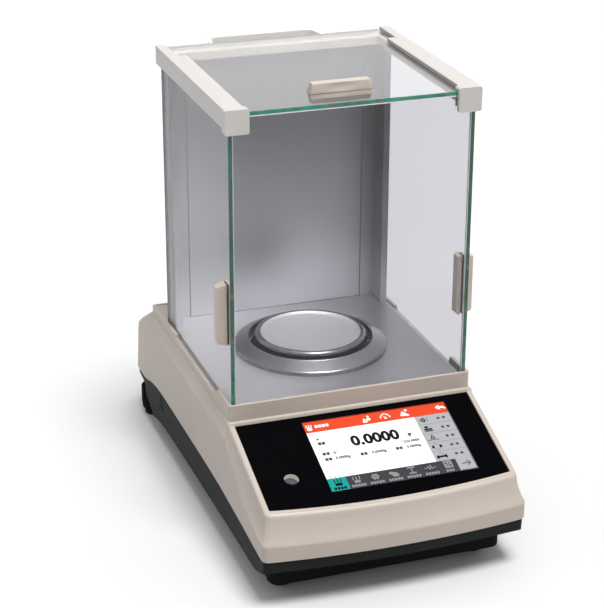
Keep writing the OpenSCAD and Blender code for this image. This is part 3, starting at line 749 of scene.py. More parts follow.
# dark lower shell
def build_lower():
    rows = ([("F", d) for d in (0.0, 0.5, 1.6, 3.4, 5.0, 9.0)] +
            [("M", y) for y in (-165.0, -158.0, -150.0, -133.0, -110.0, -80.0, -62.0, -30.0, 10.0, 44.0, 70.0, 95.0, 106.0, 116.0, 124.0, 128.6, 130.0, 131.4, 133.2,
                                136.0, 141.0, 146.0, 150.0, 151.5, 154.5, 157.2, 158.3, 160.0, 166.0, 172.0, 177.0)] +
            [("R", d) for d in (8.0, 4.0, 2.0, 0.7, 0.0)])
    cols = [103.0, 102.7, 102.0, 101.2, 100.9, 100.6, 97.0, 90.0, 82.2, 81.2, 80.2, 78.0, 60.0, 40.0, 20.0]
    cols = sorted([-c for c in cols] + [0.0] + cols)
    ws = [0.0, 0.04, 0.12, 0.35, 0.6, 0.85, 0.97, 1.0]

    def bottom_z(y, ax):
        centre = interp(y, [(-190, 31.3), (-182, 30.9), (-160, 22.4), (-100, 22.2), (-40, 21.4), (44, 20.0), (190, 20.0)])
        wall = interp(y, [(-190, 31.3), (-182, 30.9), (-160, 22.4), (-100, 22.2), (-40, 21.4), (44, 20.0), (95, 18.4), (116, 16.2), (129, 12.8), (131.4, 12.8),
                          (157.2, 24.6), (158.3, 31.5), (190, 31.5)])
        pocket = interp(y, [(131.0, 20.0), (133.2, 20.0), (150.0, 31.0), (200, 31.0)])
        if ax > 100.8:
            return wall
        if ax < 80.4:
            return centre
        if ax < 82.0 and y > 131.0:
            t = (ax - 80.4) / 1.6
            return centre + (pocket - centre) * t
        return pocket if y > 131.0 else centre

    def point(u, row, w):
        kind, v = row
        W = 103.0 - 0.25 * (1 - w)
        x = u * W
        r = 802.7 - 0.5 * (1 - w)
        yf = BOW_Y - math.sqrt(r * r - x * x)
        yr = 188.0 - 0.4 * (1 - w)
        if kind == "F":
            y = yf + v
        elif kind == "R":
            y = yr - v
        else:
            y = v
        if y > 150.5:
            W -= 2.0 * (y - 150.5) / 34.0
            x = u * W
        x, y = round_corner(x, y, W, yf, yr, 4.5, 3.5)
        zb = bottom_z(y, abs(u) * 103.0)
        zt = split_z(y) - 0.15
        return x, y, zb + w * (zt - zb)

    verts, faces = [], []
    us = [c / 103.0 for c in cols]
    nu, nr, nw = len(us), len(rows), len(ws)
    for row in rows:
        for u in us:
            verts.append(point(u, row, 0.0))
    faces += grid_faces(0, nu, nr)
    for row in (rows[0], rows[-1]):
        b = len(verts)
        for w in ws:
            for u in us:
                verts.append(point(u, row, w))
        faces += grid_faces(b, nu, nw)
    for u in (-1.0, 1.0):
        b = len(verts)
        for w in ws:
            for row in rows:
                verts.append(point(u, row, w))
        faces += grid_faces(b, nr, nw)
    ob = mesh_object("lower_shell", verts, faces, [DARK], merge=0.004)
    sub = ob.modifiers.new("Smooth", "SUBSURF")
    sub.levels = sub.render_levels = 2
    sol = ob.modifiers.new("Wall", "SOLIDIFY")
    sol.thickness = 1.1 * MM
    sol.offset = -1.0
    sol.use_even_offset = False
    return ob


lower = build_lower()
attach(lower, "base")
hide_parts("lower_housing")


def rounded_slab(name, x0, x1, y0, y1, z0, z1, r, material_, bevel=0.6, corner=6):
    """Solid with rounded vertical corners and softened edges."""
    pts = []
    for cx, cy, a0 in ((x1 - r, y0 + r, -90), (x1 - r, y1 - r, 0), (x0 + r, y1 - r, 90), (x0 + r, y0 + r, 180)):
        for k in range(corner + 1):
            a = math.radians(a0 + 90 * k / corner)
            pts.append((cx + r * math.cos(a), cy + r * math.sin(a)))
    n = len(pts)
    verts = [(x, y, z0) for x, y in pts] + [(x, y, z1) for x, y in pts]
    faces = [tuple(reversed(range(n))), tuple(range(n, 2 * n))]
    faces += [(k, (k + 1) % n, n + (k + 1) % n, n + k) for k in range(n)]
    ob = mesh_object(name, verts, faces, [material_])
    if bevel:
        add_bevel(ob, bevel, 3, 40)
    return ob


# painted shade: a near-black tray under the case stands for the shadow beneath its front edge
shade_tray = rounded_slab("under_tray_painted_shade", -92, 92, -166, 128, 9.6, 21.5, 8, UNDER, 1.5)
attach(shade_tray, "base")


# side slots near the rear feet, drawn as near-black bars laid on the shell: painted shade for the slot openings
def shaded_slot_piece(side):
    out = []
    x = side * 103.0
    verts, faces = [], []

    def bar(y0, y1, z0, z1):
        b = len(verts)
        xa, xb = x - side * 1.0, x + side * 0.12
        for xx in (xa, xb):
            verts.extend([(xx, y0, z0), (xx, y1, z0), (xx, y1, z1), (xx, y0, z1)])
        faces.extend([(b, b + 1, b + 2, b + 3), (b + 4, b + 7, b + 6, b + 5), (b, b + 4, b + 5, b + 1),
                      (b + 1, b + 5, b + 6, b + 2), (b + 2, b + 6, b + 7, b + 3), (b + 3, b + 7, b + 4, b)])
    bar(96.0, 98.8, 33.0, 46.0)
    bar(98.7, 109.5, 33.0, 35.6)
    bar(102.6, 106.2, 38.0, 46.5)
    ob = mesh_object("side_slot_left" if side < 0 else "side_slot_right", verts, faces, [UNDER], smooth=False)
    add_bevel(ob, 0.2, 2)
    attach(ob, "base")


shaded_slot_piece(-1)
shaded_slot_piece(1)

# ------------------------------------------------------------------ feet
def fluted_foot(side):
    cx, cy = side * 93.0, 166.0
    prof = fillet_profile([(0, 2.5), (7.6, 2.5), (10.0, 5.8), (10.75, 11.5), (10.75, 26.1), (10.0, 26.8), (6.2, 26.8), (6.0, 28.0), (0, 28.0)], [0, 1.6, 2.6, 2.4, 0.5, 0.4, 0.1, 0.4, 0], 4)
    verts, faces, rings = [], [], []
    segs = 144
    for r, z in prof:
        if r < 1e-6:
            verts.append((cx, cy, z))
            rings.append([len(verts) - 1])
            continue
        base = len(verts)
        depth = 0.95 * smooth01((z - 5.0) / 4.0) * smooth01((26.7 - z) / 1.2)
        for k in range(segs):
            a = 2 * math.pi * k / segs
            rr = r - depth * (0.5 - 0.5 * math.cos(18 * a)) ** 0.8
            verts.append((cx + rr * math.cos(a), cy + rr * math.sin(a), z))
        rings.append(list(range(base, base + segs)))
    for a, b in zip(rings, rings[1:]):
        for k in range(segs):
            k2 = (k + 1) % segs
            if len(a) == 1:
                faces.append((a[0], b[k], b[k2]))
            elif len(b) == 1:
                faces.append((a[k], a[k2], b[0]))
            else:
                faces.append((a[k], a[k2], b[k2], b[k]))
    name = "left" if side < 0 else "right"
    ob = mesh_object(name + "_levelling_knob", verts, faces, [UNDER])
    # threaded stud
    stud_v, stud_f = [], []
    turns, per = 18, 24
    z0, pitch = 27.8, 1.25
    n = turns * per
    prof_t = [(3.35, -0.5), (3.9, 0.0), (3.35, 0.5)]
    for k in range(n + 1):
        a = 2 * math.pi * k / per
        z = z0 + 0.6 + pitch * k / per
        for r, dz in prof_t:
            stud_v.append((cx + r * math.cos(a), cy + r * math.sin(a), z + dz))
    m3 = len(prof_t)
    for k in range(n):
        b = k * m3
        stud_f.append((b, b + 1, b + 1 + m3, b + m3))
        stud_f.append((b + 1, b + 2, b + 2 + m3, b + 1 + m3))
        stud_f.append((b + 2, b, b + m3, b + 2 + m3))
    stud_f.append((0, 2, 1))
    e = n * m3
    stud_f.append((e, e + 1, e + 2))
    thread = mesh_object(name + "_levelling_thread", stud_v, stud_f, [STEEL_SCREW])
    core = lathe(name + "_levelling_stud", fillet_profile([(0, 27.0), (3.4, 27.0), (3.4, 50.4), (2.8, 51.0), (0, 51.0)], [0, 0.1, 0.2, 0.2, 0], 2), (cx, cy, 0), 48, STEEL_SCREW, False)
    for o in (ob, thread, core):
        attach(o, name + "_knob")
    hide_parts(name + "_foot_knob")
    finish_cad(name + "_foot_pad", RUBBER, 0.4, 3)


fluted_foot(-1)
fluted_foot(1)
finish_cad("front_feet", RUBBER, 0.5, 3)
finish_cad("foot_inserts", BRASS, 0.3, 2)
finish_cad("chamber_base", CASE, 0.9, 4)

# ------------------------------------------------------------------ control panel
finish_cad("panel_overlay", PANEL, 0.25, 3)
finish_cad("lcd_module", NICKEL, 0.4, 2)
CUP_PAINTED_GLOW = plastic("cup_cream_painted_glow", rgb(236, 228, 218), rgb(242, 235, 226), (0.4, 0.5), 900, 0.00002)
# painted glow: the cream cup is given a faint emission, though it is no lamp
CUP_PAINTED_GLOW.node_tree.nodes["Principled BSDF"].inputs["Emission Color"].default_value = (0.8, 0.74, 0.68, 1)
CUP_PAINTED_GLOW.node_tree.nodes["Principled BSDF"].inputs["Emission Strength"].default_value = 0.16
finish_cad("level_cup", CUP_PAINTED_GLOW, 0.3, 2)
finish_cad("level_vial", VIAL_LIQ, 0.3, 2)
finish_cad("level_bubble", BUBBLE, 0.0)


class Deck:
    """Flat pieces on the sloping panel. x across, v down the slope from the panel's top edge, h above it."""

    def __init__(self, name, mats):
        self.name, self.mats, self.v, self.f, self.m = name, mats, [], [], []

    @staticmethod
    def at(x, v, h):
        # 1 mm down the slope moves -Y by cos and -Z by sin
        return (x, DY - v * COS - h * SIN, DZ - v * SIN + h * COS)

    def poly(self, pts, h0, h1, mat):
        b = len(self.v)
        n = len(pts)
        for h in (h0, h1):
            for x, v in pts:
                self.v.append(self.at(x, v, h))
        self.f.append(tuple(range(b + n, b + 2 * n)))
        self.f.append(tuple(reversed(range(b, b + n))))
        for k in range(n):
            self.f.append((b + k, b + (k + 1) % n, b + n + (k + 1) % n, b + n + k))
        self.m += [self.mats.index(mat)] * (n + 2)

    def rect(self, x0, v0, x1, v1, h0, h1, mat, r=0.0):
        if r <= 0:
            self.poly([(x0, v0), (x1, v0), (x1, v1), (x0, v1)], h0, h1, mat)
            return
        pts = []
        for cx, cv, a0 in ((x1 - r, v0 + r, -90), (x1 - r, v1 - r, 0), (x0 + r, v1 - r, 90), (x0 + r, v0 + r, 180)):
            for k in range(5):
                a = math.radians(a0 + 90 * k / 4)
                pts.append((cx + r * math.cos(a), cv + r * math.sin(a)))
        self.poly(pts, h0, h1, mat)

    def disc(self, x, v, r, h0, h1, mat, n=20):
        self.poly([(x + r * math.cos(2 * math.pi * k / n), v + r * math.sin(2 * math.pi * k / n)) for k in range(n)], h0, h1, mat)

    def arc(self, x, v, r0, r1, a0, a1, h0, h1, mat, n=14):
        out = [(x + r1 * math.cos(math.radians(a0 + (a1 - a0) * k / n)), v + r1 * math.sin(math.radians(a0 + (a1 - a0) * k / n))) for k in range(n + 1)]
        inn = [(x + r0 * math.cos(math.radians(a0 + (a1 - a0) * k / n)), v + r0 * math.sin(math.radians(a0 + (a1 - a0) * k / n))) for k in range(n, -1, -1)]
        for k in range(n):
            self.poly([out[k], out[k + 1], inn[n - k - 1], inn[n - k]], h0, h1, mat)

    def line(self, x0, v0, x1, v1, wdt, h0, h1, mat):
        dx, dv = x1 - x0, v1 - v0
        l = math.hypot(dx, dv)
        nx, nv = -dv / l * wdt / 2, dx / l * wdt / 2
        self.poly([(x0 + nx, v0 + nv), (x0 - nx, v0 - nv), (x1 - nx, v1 - nv), (x1 + nx, v1 + nv)], h0, h1, mat)

    def build(self):
        ob = mesh_object(self.name, self.v, self.f, self.mats, self.m, smooth=False)
        return ob


UI = [S_WHITE, S_ORANGE, S_ORANGE_PAINTED_SHADE, S_GREY, S_GREY_PAINTED_SHADE, S_DARK, S_TEAL, S_INK, S_SOFT, S_MID, S_LINE, S_FAINT, PANEL]
d = Deck("screen_image", UI)
X0, X1, V0, V1 = -43.7, 72.9, 6.5, 79.3
COLX, VB, VT = 43.7, 18.3, 66.6
H = 0.02
d.rect(X0, V0, X1, V1, -0.02, H, S_WHITE)
d.rect(X0, V0, X1, VB, H, H + 0.02, S_ORANGE)
d.rect(COLX, VB, X1, VT, H, H + 0.02, S_GREY)
d.rect(X0, VT, 58.7, V1, H, H + 0.02, S_DARK)
d.rect(58.7, VT, X1, V1, H, H + 0.02, S_GREY)
d.rect(X0, VT, -29.1, V1, H + 0.02, H + 0.04, S_TEAL)
L = H + 0.02
M_ = L + 0.03
# painted shade: the picture is darkened along the rim of the window, as if the rim shadowed it
d.rect(X0, V0, X1, V0 + 0.9, L, L + 0.03, S_ORANGE_PAINTED_SHADE)
d.rect(X1 - 0.9, V0 + 0.9, X1, VB, L, L + 0.03, S_ORANGE_PAINTED_SHADE)
d.rect(X1 - 0.9, VB, X1, V1 - 0.8, L, L + 0.03, S_GREY_PAINTED_SHADE)
d.rect(58.7, V1 - 0.8, X1, V1, L, L + 0.03, S_GREY_PAINTED_SHADE)
for v in (27.7, 37.35, 47.2, 56.6):
    d.rect(COLX + 0.3, v - 0.25, X1 - 1.0, v + 0.25, L, L + 0.012, S_LINE)
tw = (58.7 + 43.7) / 7
for k in range(1, 7):
    x = -43.7 + tw * k
    d.rect(x - 0.14, VT + 0.4, x + 0.14, V1 - 0.4, M_, M_ + 0.01, S_SOFT)


def chips(x, v, n, w, h, mat, gap=0.55, z=None):
    """Row of plain blocks that stands for a caption."""
    z = L if z is None else z
    for k in range(n):
        xx = x + k * (w + gap)
        d.rect(xx, v, xx + w, v + h, z, z + 0.03, mat, min(w, h) * 0.22)


# top bar
chips(-35.2, 11.1, 4, 2.3, 2.9, S_WHITE, 0.6)
for k in range(3):
    d.rect(-42.2 + k * 1.9, 10.2, -41.3 + k * 1.9, 12.6, L, M_, S_WHITE)
d.rect(-42.0, 12.9, -37.8, 15.9, L, M_, S_WHITE, 1.2)
d.disc(8.3, 10.4, 1.0, L, M_, S_WHITE)
d.rect(6.4, 12.0, 9.8, 14.6, L, M_, S_WHITE, 1.1)
d.disc(4.6, 13.2, 1.1, L, M_, S_WHITE)
d.rect(2.9, 14.2, 6.6, 16.3, L, M_, S_WHITE, 0.9)
for a0, a1 in ((178, 208), (217, 250), (290, 323), (332, 362)):
    d.arc(21.7, 14.2, 3.2, 4.3, a0, a1, L, M_, S_WHITE, 6)
d.arc(21.7, 14.2, 3.6, 4.5, 258, 282, L, M_, S_WHITE, 6)
d.disc(21.7, 14.6, 1.0, L, M_, S_WHITE)
d.line(21.7, 14.4, 20.6, 12.6, 0.7, L, M_, S_WHITE)
d.disc(39.7, 9.8, 1.1, L, M_, S_WHITE)
d.poly([(33.7, 14.9), (36.2, 10.6), (38.2, 11.4), (37.0, 13.0), (38.4, 14.4), (36.4, 15.6)], L, M_, S_WHITE)
d.line(37.4, 12.0, 40.0, 14.8, 1.1, L, M_, S_WHITE)
d.line(37.6, 15.2, 41.0, 15.2, 1.0, L, M_, S_WHITE)
d.poly([(63.4, 11.9), (66.9, 9.2), (66.9, 10.9), (70.2, 11.2), (72.0, 13.6), (71.2, 14.4), (69.4, 13.1), (66.9, 12.9), (66.9, 14.7)], L, M_, S_WHITE)
# working area
d.disc(-37.4, 26.0, 1.0, L, M_, S_SOFT)
chips(-38.5, 29.1, 2, 2.6, 3.0, S_SOFT, 0.4)
chips(-38.5, 40.1, 2, 2.6, 2.9, S_SOFT, 0.4)
for x in (-38.3, -10.2, 18.2):
    chips(x, 45.9, 2, 2.5, 2.9, S_SOFT, 0.4)
    d.disc(x + 6.7, 46.6, 0.22, L, M_, S_SOFT, 8)
    d.disc(x + 6.7, 48.2, 0.22, L, M_, S_SOFT, 8)
for v in (39.7, 43.2):
    d.rect(-26.7, v, 25.7, v + 0.4, L, M_, S_FAINT)
d.rect(-26.8, 39.7, -26.4, 43.5, L, M_, S_SOFT)
d.rect(25.4, 39.7, 25.8, 43.5, L, M_, S_SOFT)
for x in (-40.2, -36.7, -33.1):
    d.rect(x - 0.3, 64.7, x + 0.3, 66.3, L, M_, S_SOFT)
# keys in the right column
rowc = [22.9, 32.6, 42.3, 51.9, 61.6]
for v in rowc:
    for x in (60.8, 65.3):
        d.rect(x, v - 1.1, x + 2.3, v + 1.1, L, M_, S_SOFT, 0.5)
v = rowc[0]
d.line(46.4, v - 1.5, 47.7, v, 0.5, L, M_, S_INK)
d.line(47.7, v, 46.4, v + 1.5, 0.5, L, M_, S_INK)
d.line(53.2, v - 1.5, 51.9, v, 0.5, L, M_, S_INK)
d.line(51.9, v, 53.2, v + 1.5, 0.5, L, M_, S_INK)
v = rowc[1]
d.rect(46.6, v - 0.4, 53.2, v + 1.2, L, M_, S_INK, 0.5)
d.rect(46.9, v + 1.6, 53.6, v + 2.7, L, M_, S_INK, 0.4)
d.rect(47.6, v - 3.0, 50.4, v - 0.8, L, M_, S_INK, 0.8)
v = rowc[2]
d.line(50.0, v - 3.2, 48.6, v + 0.8, 0.6, L, M_, S_INK)
d.line(50.2, v - 3.2, 51.8, v + 0.8, 0.6, L, M_, S_INK)
d.arc(50.1, v + 0.9, 0.8, 1.4, 0, 360, L, M_, S_INK, 16)
d.line(45.4, v + 2.3, 48.8, v + 1.9, 0.6, L, M_, S_INK)
d.line(51.4, v + 1.9, 54.8, v + 2.3, 0.6, L, M_, S_INK)
v = rowc[3]
d.arc(50.0, v - 0.1, 2.5, 3.2, 215, 325, L, M_, S_MID)
d.arc(50.0, v - 0.1, 2.3, 3.1, 35, 145, L, M_, S_MID)
d.rect(45.9, v - 1.6, 47.9, v + 1.3, L, M_, S_INK, 0.8)
d.rect(52.0, v - 1.6, 54.0, v + 1.3, L, M_, S_INK, 0.8)
v = rowc[4]
d.rect(46.4, v - 0.2, 53.9, v + 1.6, L, M_, S_INK, 0.5)
d.rect(45.9, v - 0.8, 47.6, v + 2.6, L, M_, S_INK, 0.4)
d.rect(52.6, v - 0.8, 54.3, v + 2.6, L, M_, S_INK, 0.4)
d.arc(50.1, v - 0.6, 2.2, 2.8, 200, 340, L, M_, S_MID)
# tabs
T = H + 0.04
cx = -43.7 + tw * 0.5
for k in range(3):
    d.rect(cx - 2.9 + k * 2.5, 68.2, cx - 2.0 + k * 2.5, 71.6, T, T + 0.03, S_INK)
d.rect(cx - 2.9, 71.9, cx + 2.9, 74.7, T, T + 0.03, S_INK, 1.2)
chips(cx - 4.7, 75.9, 4, 2.0, 2.5, S_INK, 0.5, T)
for k in range(1, 7):
    q = -43.7 + tw * (k + 0.5)
    chips(q - (5.6 if k < 6 else 3.6), 76.0, 5 if k < 6 else 3, 1.8, 2.4, S_MID, 0.5)
cx += tw
for k in range(3):
    d.rect(cx - 2.9 + k * 2.5, 68.2, cx - 2.1 + k * 2.5, 71.6, L, M_, S_MID)
d.rect(cx - 2.4, 71.9, cx + 2.4, 74.6, L, M_, S_MID, 1.1)
cx += tw
for a in range(0, 360, 60):
    d.disc(cx + 2.3 * math.cos(math.radians(a)), 71.5 + 2.1 * math.sin(math.radians(a)), 1.0, L, M_, S_MID, 12)
d.disc(cx, 71.5, 1.3, L, M_, S_MID, 12)
d.disc(cx, 71.5, 0.55, M_, M_ + 0.01, S_DARK, 10)
cx += tw
d.poly([(cx - 3.8, 70.8), (cx - 2.4, 69.0), (cx - 0.4, 69.8), (cx + 2.4, 70.6), (cx + 3.8, 72.6), (cx + 3.4, 74.6), (cx - 1.0, 74.4), (cx - 1.8, 72.4)], L, M_, S_MID)
cx += tw
d.rect(cx - 3.1, 67.5, cx + 3.1, 68.9, L, M_, S_MID)
d.rect(cx - 0.45, 68.9, cx + 0.45, 73.4, L, M_, S_MID)
d.rect(cx - 3.0, 73.2, cx + 3.0, 74.5, L, M_, S_MID, 0.5)
cx += tw
for (xa, va, xb, vb) in ((-4.8, 71.6, -2.6, 71.6), (-2.6, 71.6, -1.6, 69.8), (-1.6, 69.8, -0.5, 73.6), (-0.5, 73.6, 0.5, 68.6), (0.5, 68.6, 1.4, 73.0), (1.4, 73.0, 2.2, 71.6), (2.2, 71.6, 4.9, 71.6)):
    d.line(cx + xa, va, cx + xb, vb, 0.62, L, M_, S_MID)
cx += tw
d.rect(cx - 3.4, 67.2, cx + 3.4, 74.6, L, M_, S_MID, 0.6)
d.disc(cx - 1.5, 69.6, 0.9, M_, M_ + 0.01, S_DARK, 12)
d.disc(cx + 1.5, 72.2, 0.9, M_, M_ + 0.01, S_DARK, 12)
d.line(cx + 1.6, 68.8, cx - 1.6, 73.0, 0.5, M_, M_ + 0.01, S_DARK)
d.line(62.4, 72.4, 68.0, 72.4, 0.9, L, M_, S_SOFT)
d.line(66.4, 70.0, 69.3, 72.4, 0.8, L, M_, S_SOFT)
d.line(66.4, 74.8, 69.3, 72.4, 0.8, L, M_, S_SOFT)
image = d.build()
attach(image, "base")


# figures of the reading
def figures(name, body, size, x, v, mat, bold=0.02, align="LEFT"):
    cu = bpy.data.curves.new(name, "FONT")
    cu.body = body
    cu.size = size * MM
    cu.offset = bold * size * MM
    cu.extrude = 0.00002
    cu.align_x = align
    cu.space_character = 1.04
    ob = bpy.data.objects.new(name, cu)
    bpy.context.scene.collection.objects.link(ob)
    cu.materials.append(mat)
    px, py, pz = Deck.at(x, v, 0.09)
    ob.matrix_world = Matrix.Translation((px * MM, py * MM, pz * MM)) @ Matrix.Rotation(math.radians(19.0), 4, "X")
    bpy.context.view_layer.update()
    dg = bpy.context.evaluated_depsgraph_get()
    me = bpy.data.meshes.new_from_object(ob.evaluated_get(dg))
    me.transform(ob.matrix_world)
    bpy.data.objects.remove(ob)
    piece = bpy.data.objects.new(name, me)
    bpy.context.scene.collection.objects.link(piece)
    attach(piece, "base")
    return piece


figures("reading_figures", "0.0000", 13.6, -12.9, 37.5, S_INK, 0.045)
figures("reading_unit", "g", 6.6, 32.2, 36.9, S_INK, 0.045)
figures("zero_key", "0", 5.6, 48.1, 24.9, S_INK, 0.045)
figures("bar_zero", "0", 3.5, -29.9, 42.9, S_INK, 0.045)
figures("bar_limit", "220.0000", 3.35, 26.4, 42.8, S_INK, 0.04)
for k, x in enumerate((-29.9, -1.1, 27.1)):
    figures("small_reading_" + "abc"[k], "0.0000g", 3.45, x, 48.4, S_INK, 0.04)

# ------------------------------------------------------------------ chamber metalwork
finish_cad("floor_plate", FLOORPLATE, 0.3, 2)
finish_cad("back_plate", BACKPLATE, 0.3, 2)
finish_cad("left_column", COLUMN, 0.45, 3)
finish_cad("right_column", COLUMN, 0.45, 3)


def strip(name, lo, hi, mat):
    x0, y0, z0 = lo
    x1, y1, z1 = hi
    verts = [(x, y, z) for x in (x0, x1) for y in (y0, y1) for z in (z0, z1)]
    faces = [(0, 1, 3, 2), (4, 6, 7, 5), (0, 4, 5, 1), (2, 3, 7, 6), (0, 2, 6, 4), (1, 5, 7, 3)]
    o = mesh_object(name, verts, faces, [mat], smooth=False)
    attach(o, "base")


for sgn, side_name in ((-1, "left"), (1, "right")):
    xs = sorted((sgn * 74.1, sgn * 74.75))
    strip("back_seam_" + side_name, (xs[0], 98.3, 116.2), (xs[1], 98.6, 334.0), SEAM)
    xs = sorted((sgn * 91.8, sgn * 92.42))
    strip("door_seal_" + side_name, (xs[0], 84.0, 116.2), (xs[1], 100.4, 334.0), SEAL)
    xs = sorted((sgn * 86.1, sgn * 86.45))
    strip("column_foot_line_" + side_name, (xs[0], 79.4, 116.0), (xs[1], 98.4, 116.45), SEAM)
strip("back_seam_foot", (-74.1, 98.25, 116.0), (74.1, 98.6, 116.32), SEAM)

FZ = 116.0
CY = 13.5
ring_prof = fillet_profile(
    [(51.2, 0.02), (51.2, 7.7), (60.9, 2.6), (60.9, 0.02), (61.9, 0.02), (61.9, 3.1), (60.9, 3.9), (51.2, 8.9), (50.6, 9.35), (50.0, 8.9), (50.0, 0.02)],
    [0, 0.3, 0.3, 0.1, 0.1, 0.7, 0.5, 0.5, 0.3, 0.3, 0], 4)
ring = lathe("turned_draft_ring", ring_prof, (0, CY, FZ), 192, RING, True)
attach(ring, "ring")
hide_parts("draft_ring")

pan_r = 45.0
top = [(0, 11.25), (36.4, 11.2), (38.2, 11.35), (39.3, 12.1), (40.4, 12.75), (42.2, 13.02)]
rim = [(pan_r - 2.9 + 2.9 * math.cos(math.radians(a)), 10.1 + 2.92 * math.sin(math.radians(a))) for a in range(80, -100, -10)]
under = [(41.0, 7.6), (40.0, 9.0), (38.4, 9.75), (0, 9.8)]
pan = lathe("rolled_pan", top + rim + under, (0, CY, FZ), 192, PAN, False)
# the rim and underside take the darker pan copy, as painted shade
pan.data.materials.append(PAN_SHADED_STEEL)
for p in pan.data.polygons:
    r = math.hypot(p.center.x, p.center.y - CY * MM) / MM
    if r > 41.2 or p.center.z < (FZ + 10.6) * MM:
        p.material_index = 1
hub = lathe("pan_hub", fillet_profile([(4.05, 1.5), (8.0, 1.5), (8.0, 9.8), (4.05, 9.8)], [0, 0.4, 0.1, 0], 3), (0, CY, FZ), 64, PAN_SHADED_STEEL, True)
for o in (pan, hub):
    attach(o, "pan")
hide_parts("weighing_pan")

# painted shade: a black disc on the floor plate under the pan, where the space beneath the pan lies in shadow
shade_disc = lathe("pan_well_painted_shade", fillet_profile([(16.4, 0.02), (49.3, 0.02), (49.3, 0.7), (16.4, 0.7)], [0, 0.2, 0.2, 0], 3), (0, CY, FZ), 128, WELL_PAINTED_SHADE, True)
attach(shade_disc, "base")

# small support tabs that show in the gap under the pan
for k, ang in enumerate((196, 344, 270, 90)):
    a = math.radians(ang)
    cx, cy = 47.2 * math.cos(a), CY + 47.2 * math.sin(a)
    o = rounded_slab(f"ring_tab_{k}", cx - 1.6, cx + 1.6, cy - 1.2, cy + 1.2, FZ + 0.02, FZ + 3.2, 0.6, RING, 0.3, 3)
    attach(o, "base")


# ------------------------------------------------------------------ glass
def pane(name, node, body, thin_axis, edge_map, edges, sheet, rear=None):
    """Pane with ground arrises. edge_map gives the edge material for faces that point along an axis."""
    lo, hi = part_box(node)
    lo = [c / MM for c in lo]
    hi = [c / MM for c in hi]
    if thin_axis == 0:
        lo[2] += 0.25  # clear of the rear deck that the open door passes over
    c = 0.35
    bm = bmesh.new()
    me = bpy.data.meshes.new(name)
    v = [bm.verts.new((x, y, z)) for x in (lo[0], hi[0]) for y in (lo[1], hi[1]) for z in (lo[2], hi[2])]
    for f in ((0, 1, 3, 2), (4, 6, 7, 5), (0, 4, 5, 1), (2, 3, 7, 6), (0, 2, 6, 4), (1, 5, 7, 3)):
        bm.faces.new([v[k] for k in f])
    bmesh.ops.recalc_face_normals(bm, faces=bm.faces)
    bmesh.ops.bevel(bm, geom=list(bm.edges), offset=c, segments=2, profile=0.5, affect="EDGES")
    for p in bm.faces:
        n = p.normal
        k = max(range(3), key=lambda q: abs(n[q]))
        if k == thin_axis and abs(n[k]) > 0.999:
            p.material_index = 0
        else:
            p.material_index = edge_map.get("XYZ"[k if k != thin_axis else [q for q in range(3) if q != thin_axis][0]], 1)
            if k == thin_axis:
                m2 = max((q for q in range(3) if q != thin_axis), key=lambda q: abs(n[q]))
                p.material_index = edge_map.get("XYZ"[m2], 1)
        if rear is not None and p.material_index and p.calc_center_median().y > hi[1] - c - 0.05:
            p.material_index = rear
    bm.transform(Matrix.Scale(MM, 4))
    bm.to_mesh(me)
    bm.free()
    me.materials.append(sheet)
    for e in edges:
        me.materials.append(e)
    ob = bpy.data.objects.new(name, me)
    bpy.context.scene.collection.objects.link(ob)
    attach(ob, body)
    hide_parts(node)
    return ob


pane("front_pane", "front_glass", "base", 1, {"X": 1, "Z": 1}, (EDGE_PALE,), GLASS_FRONT)
pane("left_door_pane", "left_door_glass", "left_door", 0, {"Y": 1, "Z": 2}, (EDGE_SIDE, EDGE_GREY), GLASS, 2)
pane("right_door_pane", "right_door_glass", "right_door", 0, {"Y": 1, "Z": 2}, (EDGE_SIDE, EDGE_GREY), GLASS, 2)
pane("top_door_pane", "top_glass", "top_door", 2, {"X": 1, "Y": 2}, (EDGE_PALE, EDGE_TOP, EDGE_REAR), GLASS_TOP, 3)


# ------------------------------------------------------------------ grips
def grip_mesh(name, to_world, mat, body, node):
    """Finger grip: trapezoid body with a shallow scoop in the front face."""
    LX = 24.5
    nx, nz = 40, 14
    prof = []
    # section (y, z), closed, counter-clockwise seen from +x
    sec = [(-4.9, 0.0), (-4.9, 1.6), (-4.2, 4.8), (-3.5, 7.2), (-2.9, 7.8), (2.6, 7.8), (3.2, 7.2), (4.3, 3.6), (4.9, 1.4), (4.9, 0.0)]
    dense = []
    for k in range(len(sec)):
        a, b = sec[k], sec[(k + 1) % len(sec)]
        steps = 3 if math.dist(a, b) > 1.5 else 1
        for s in range(steps):
            t = s / steps
            dense.append((a[0] + (b[0] - a[0]) * t, a[1] + (b[1] - a[1]) * t))
    xs = [-LX, -LX + 0.25, -LX + 0.8, -LX + 1.6] + [-LX + 1.6 + (2 * LX - 3.2) * k / nx for k in range(1, nx)] + [LX - 1.6, LX - 0.8, LX - 0.25, LX]
    verts, faces = [], []
    n = len(dense)
    for x in xs:
        e = (abs(x) - (LX - 1.6)) / 1.6
        for (yy, zz) in dense:
            xx = x
            top = zz / 7.8
            # ends slope in towards the top
            xx = x * (1 - 0.075 * top) if abs(x) > LX - 6 else x * (1 - 0.075 * top * smooth01((abs(x) - 8) / (LX - 14)))
            y2, z2 = yy, zz
            if e > 0:
                sh = 1 - 0.07 * e * e
                y2, z2 = yy * sh, zz * (1 - 0.06 * e * e)
            # scoop
            if yy < -3.0 and 0.5 < zz < 7.3:
                g = math.exp(-(x / 12.5) ** 2 * 1.6) * math.sin(math.pi * min(1, max(0, (zz - 0.4) / 6.8)))
                y2 += 0.9 * g
            verts.append((xx, y2, z2))
    for i in range(len(xs) - 1):
        for k in range(n):
            faces.append((i * n + k, i * n + (k + 1) % n, (i + 1) * n + (k + 1) % n, (i + 1) * n + k))
    faces.append(tuple(range(n)))
    faces.append(tuple(reversed(range((len(xs) - 1) * n, len(xs) * n))))
    verts = [to_world(p) for p in verts]
    ob = mesh_object(name, verts, faces, [mat])
    add_bevel(ob, 0.35, 3, 28)
    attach(ob, body)
    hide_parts(node)
    return ob


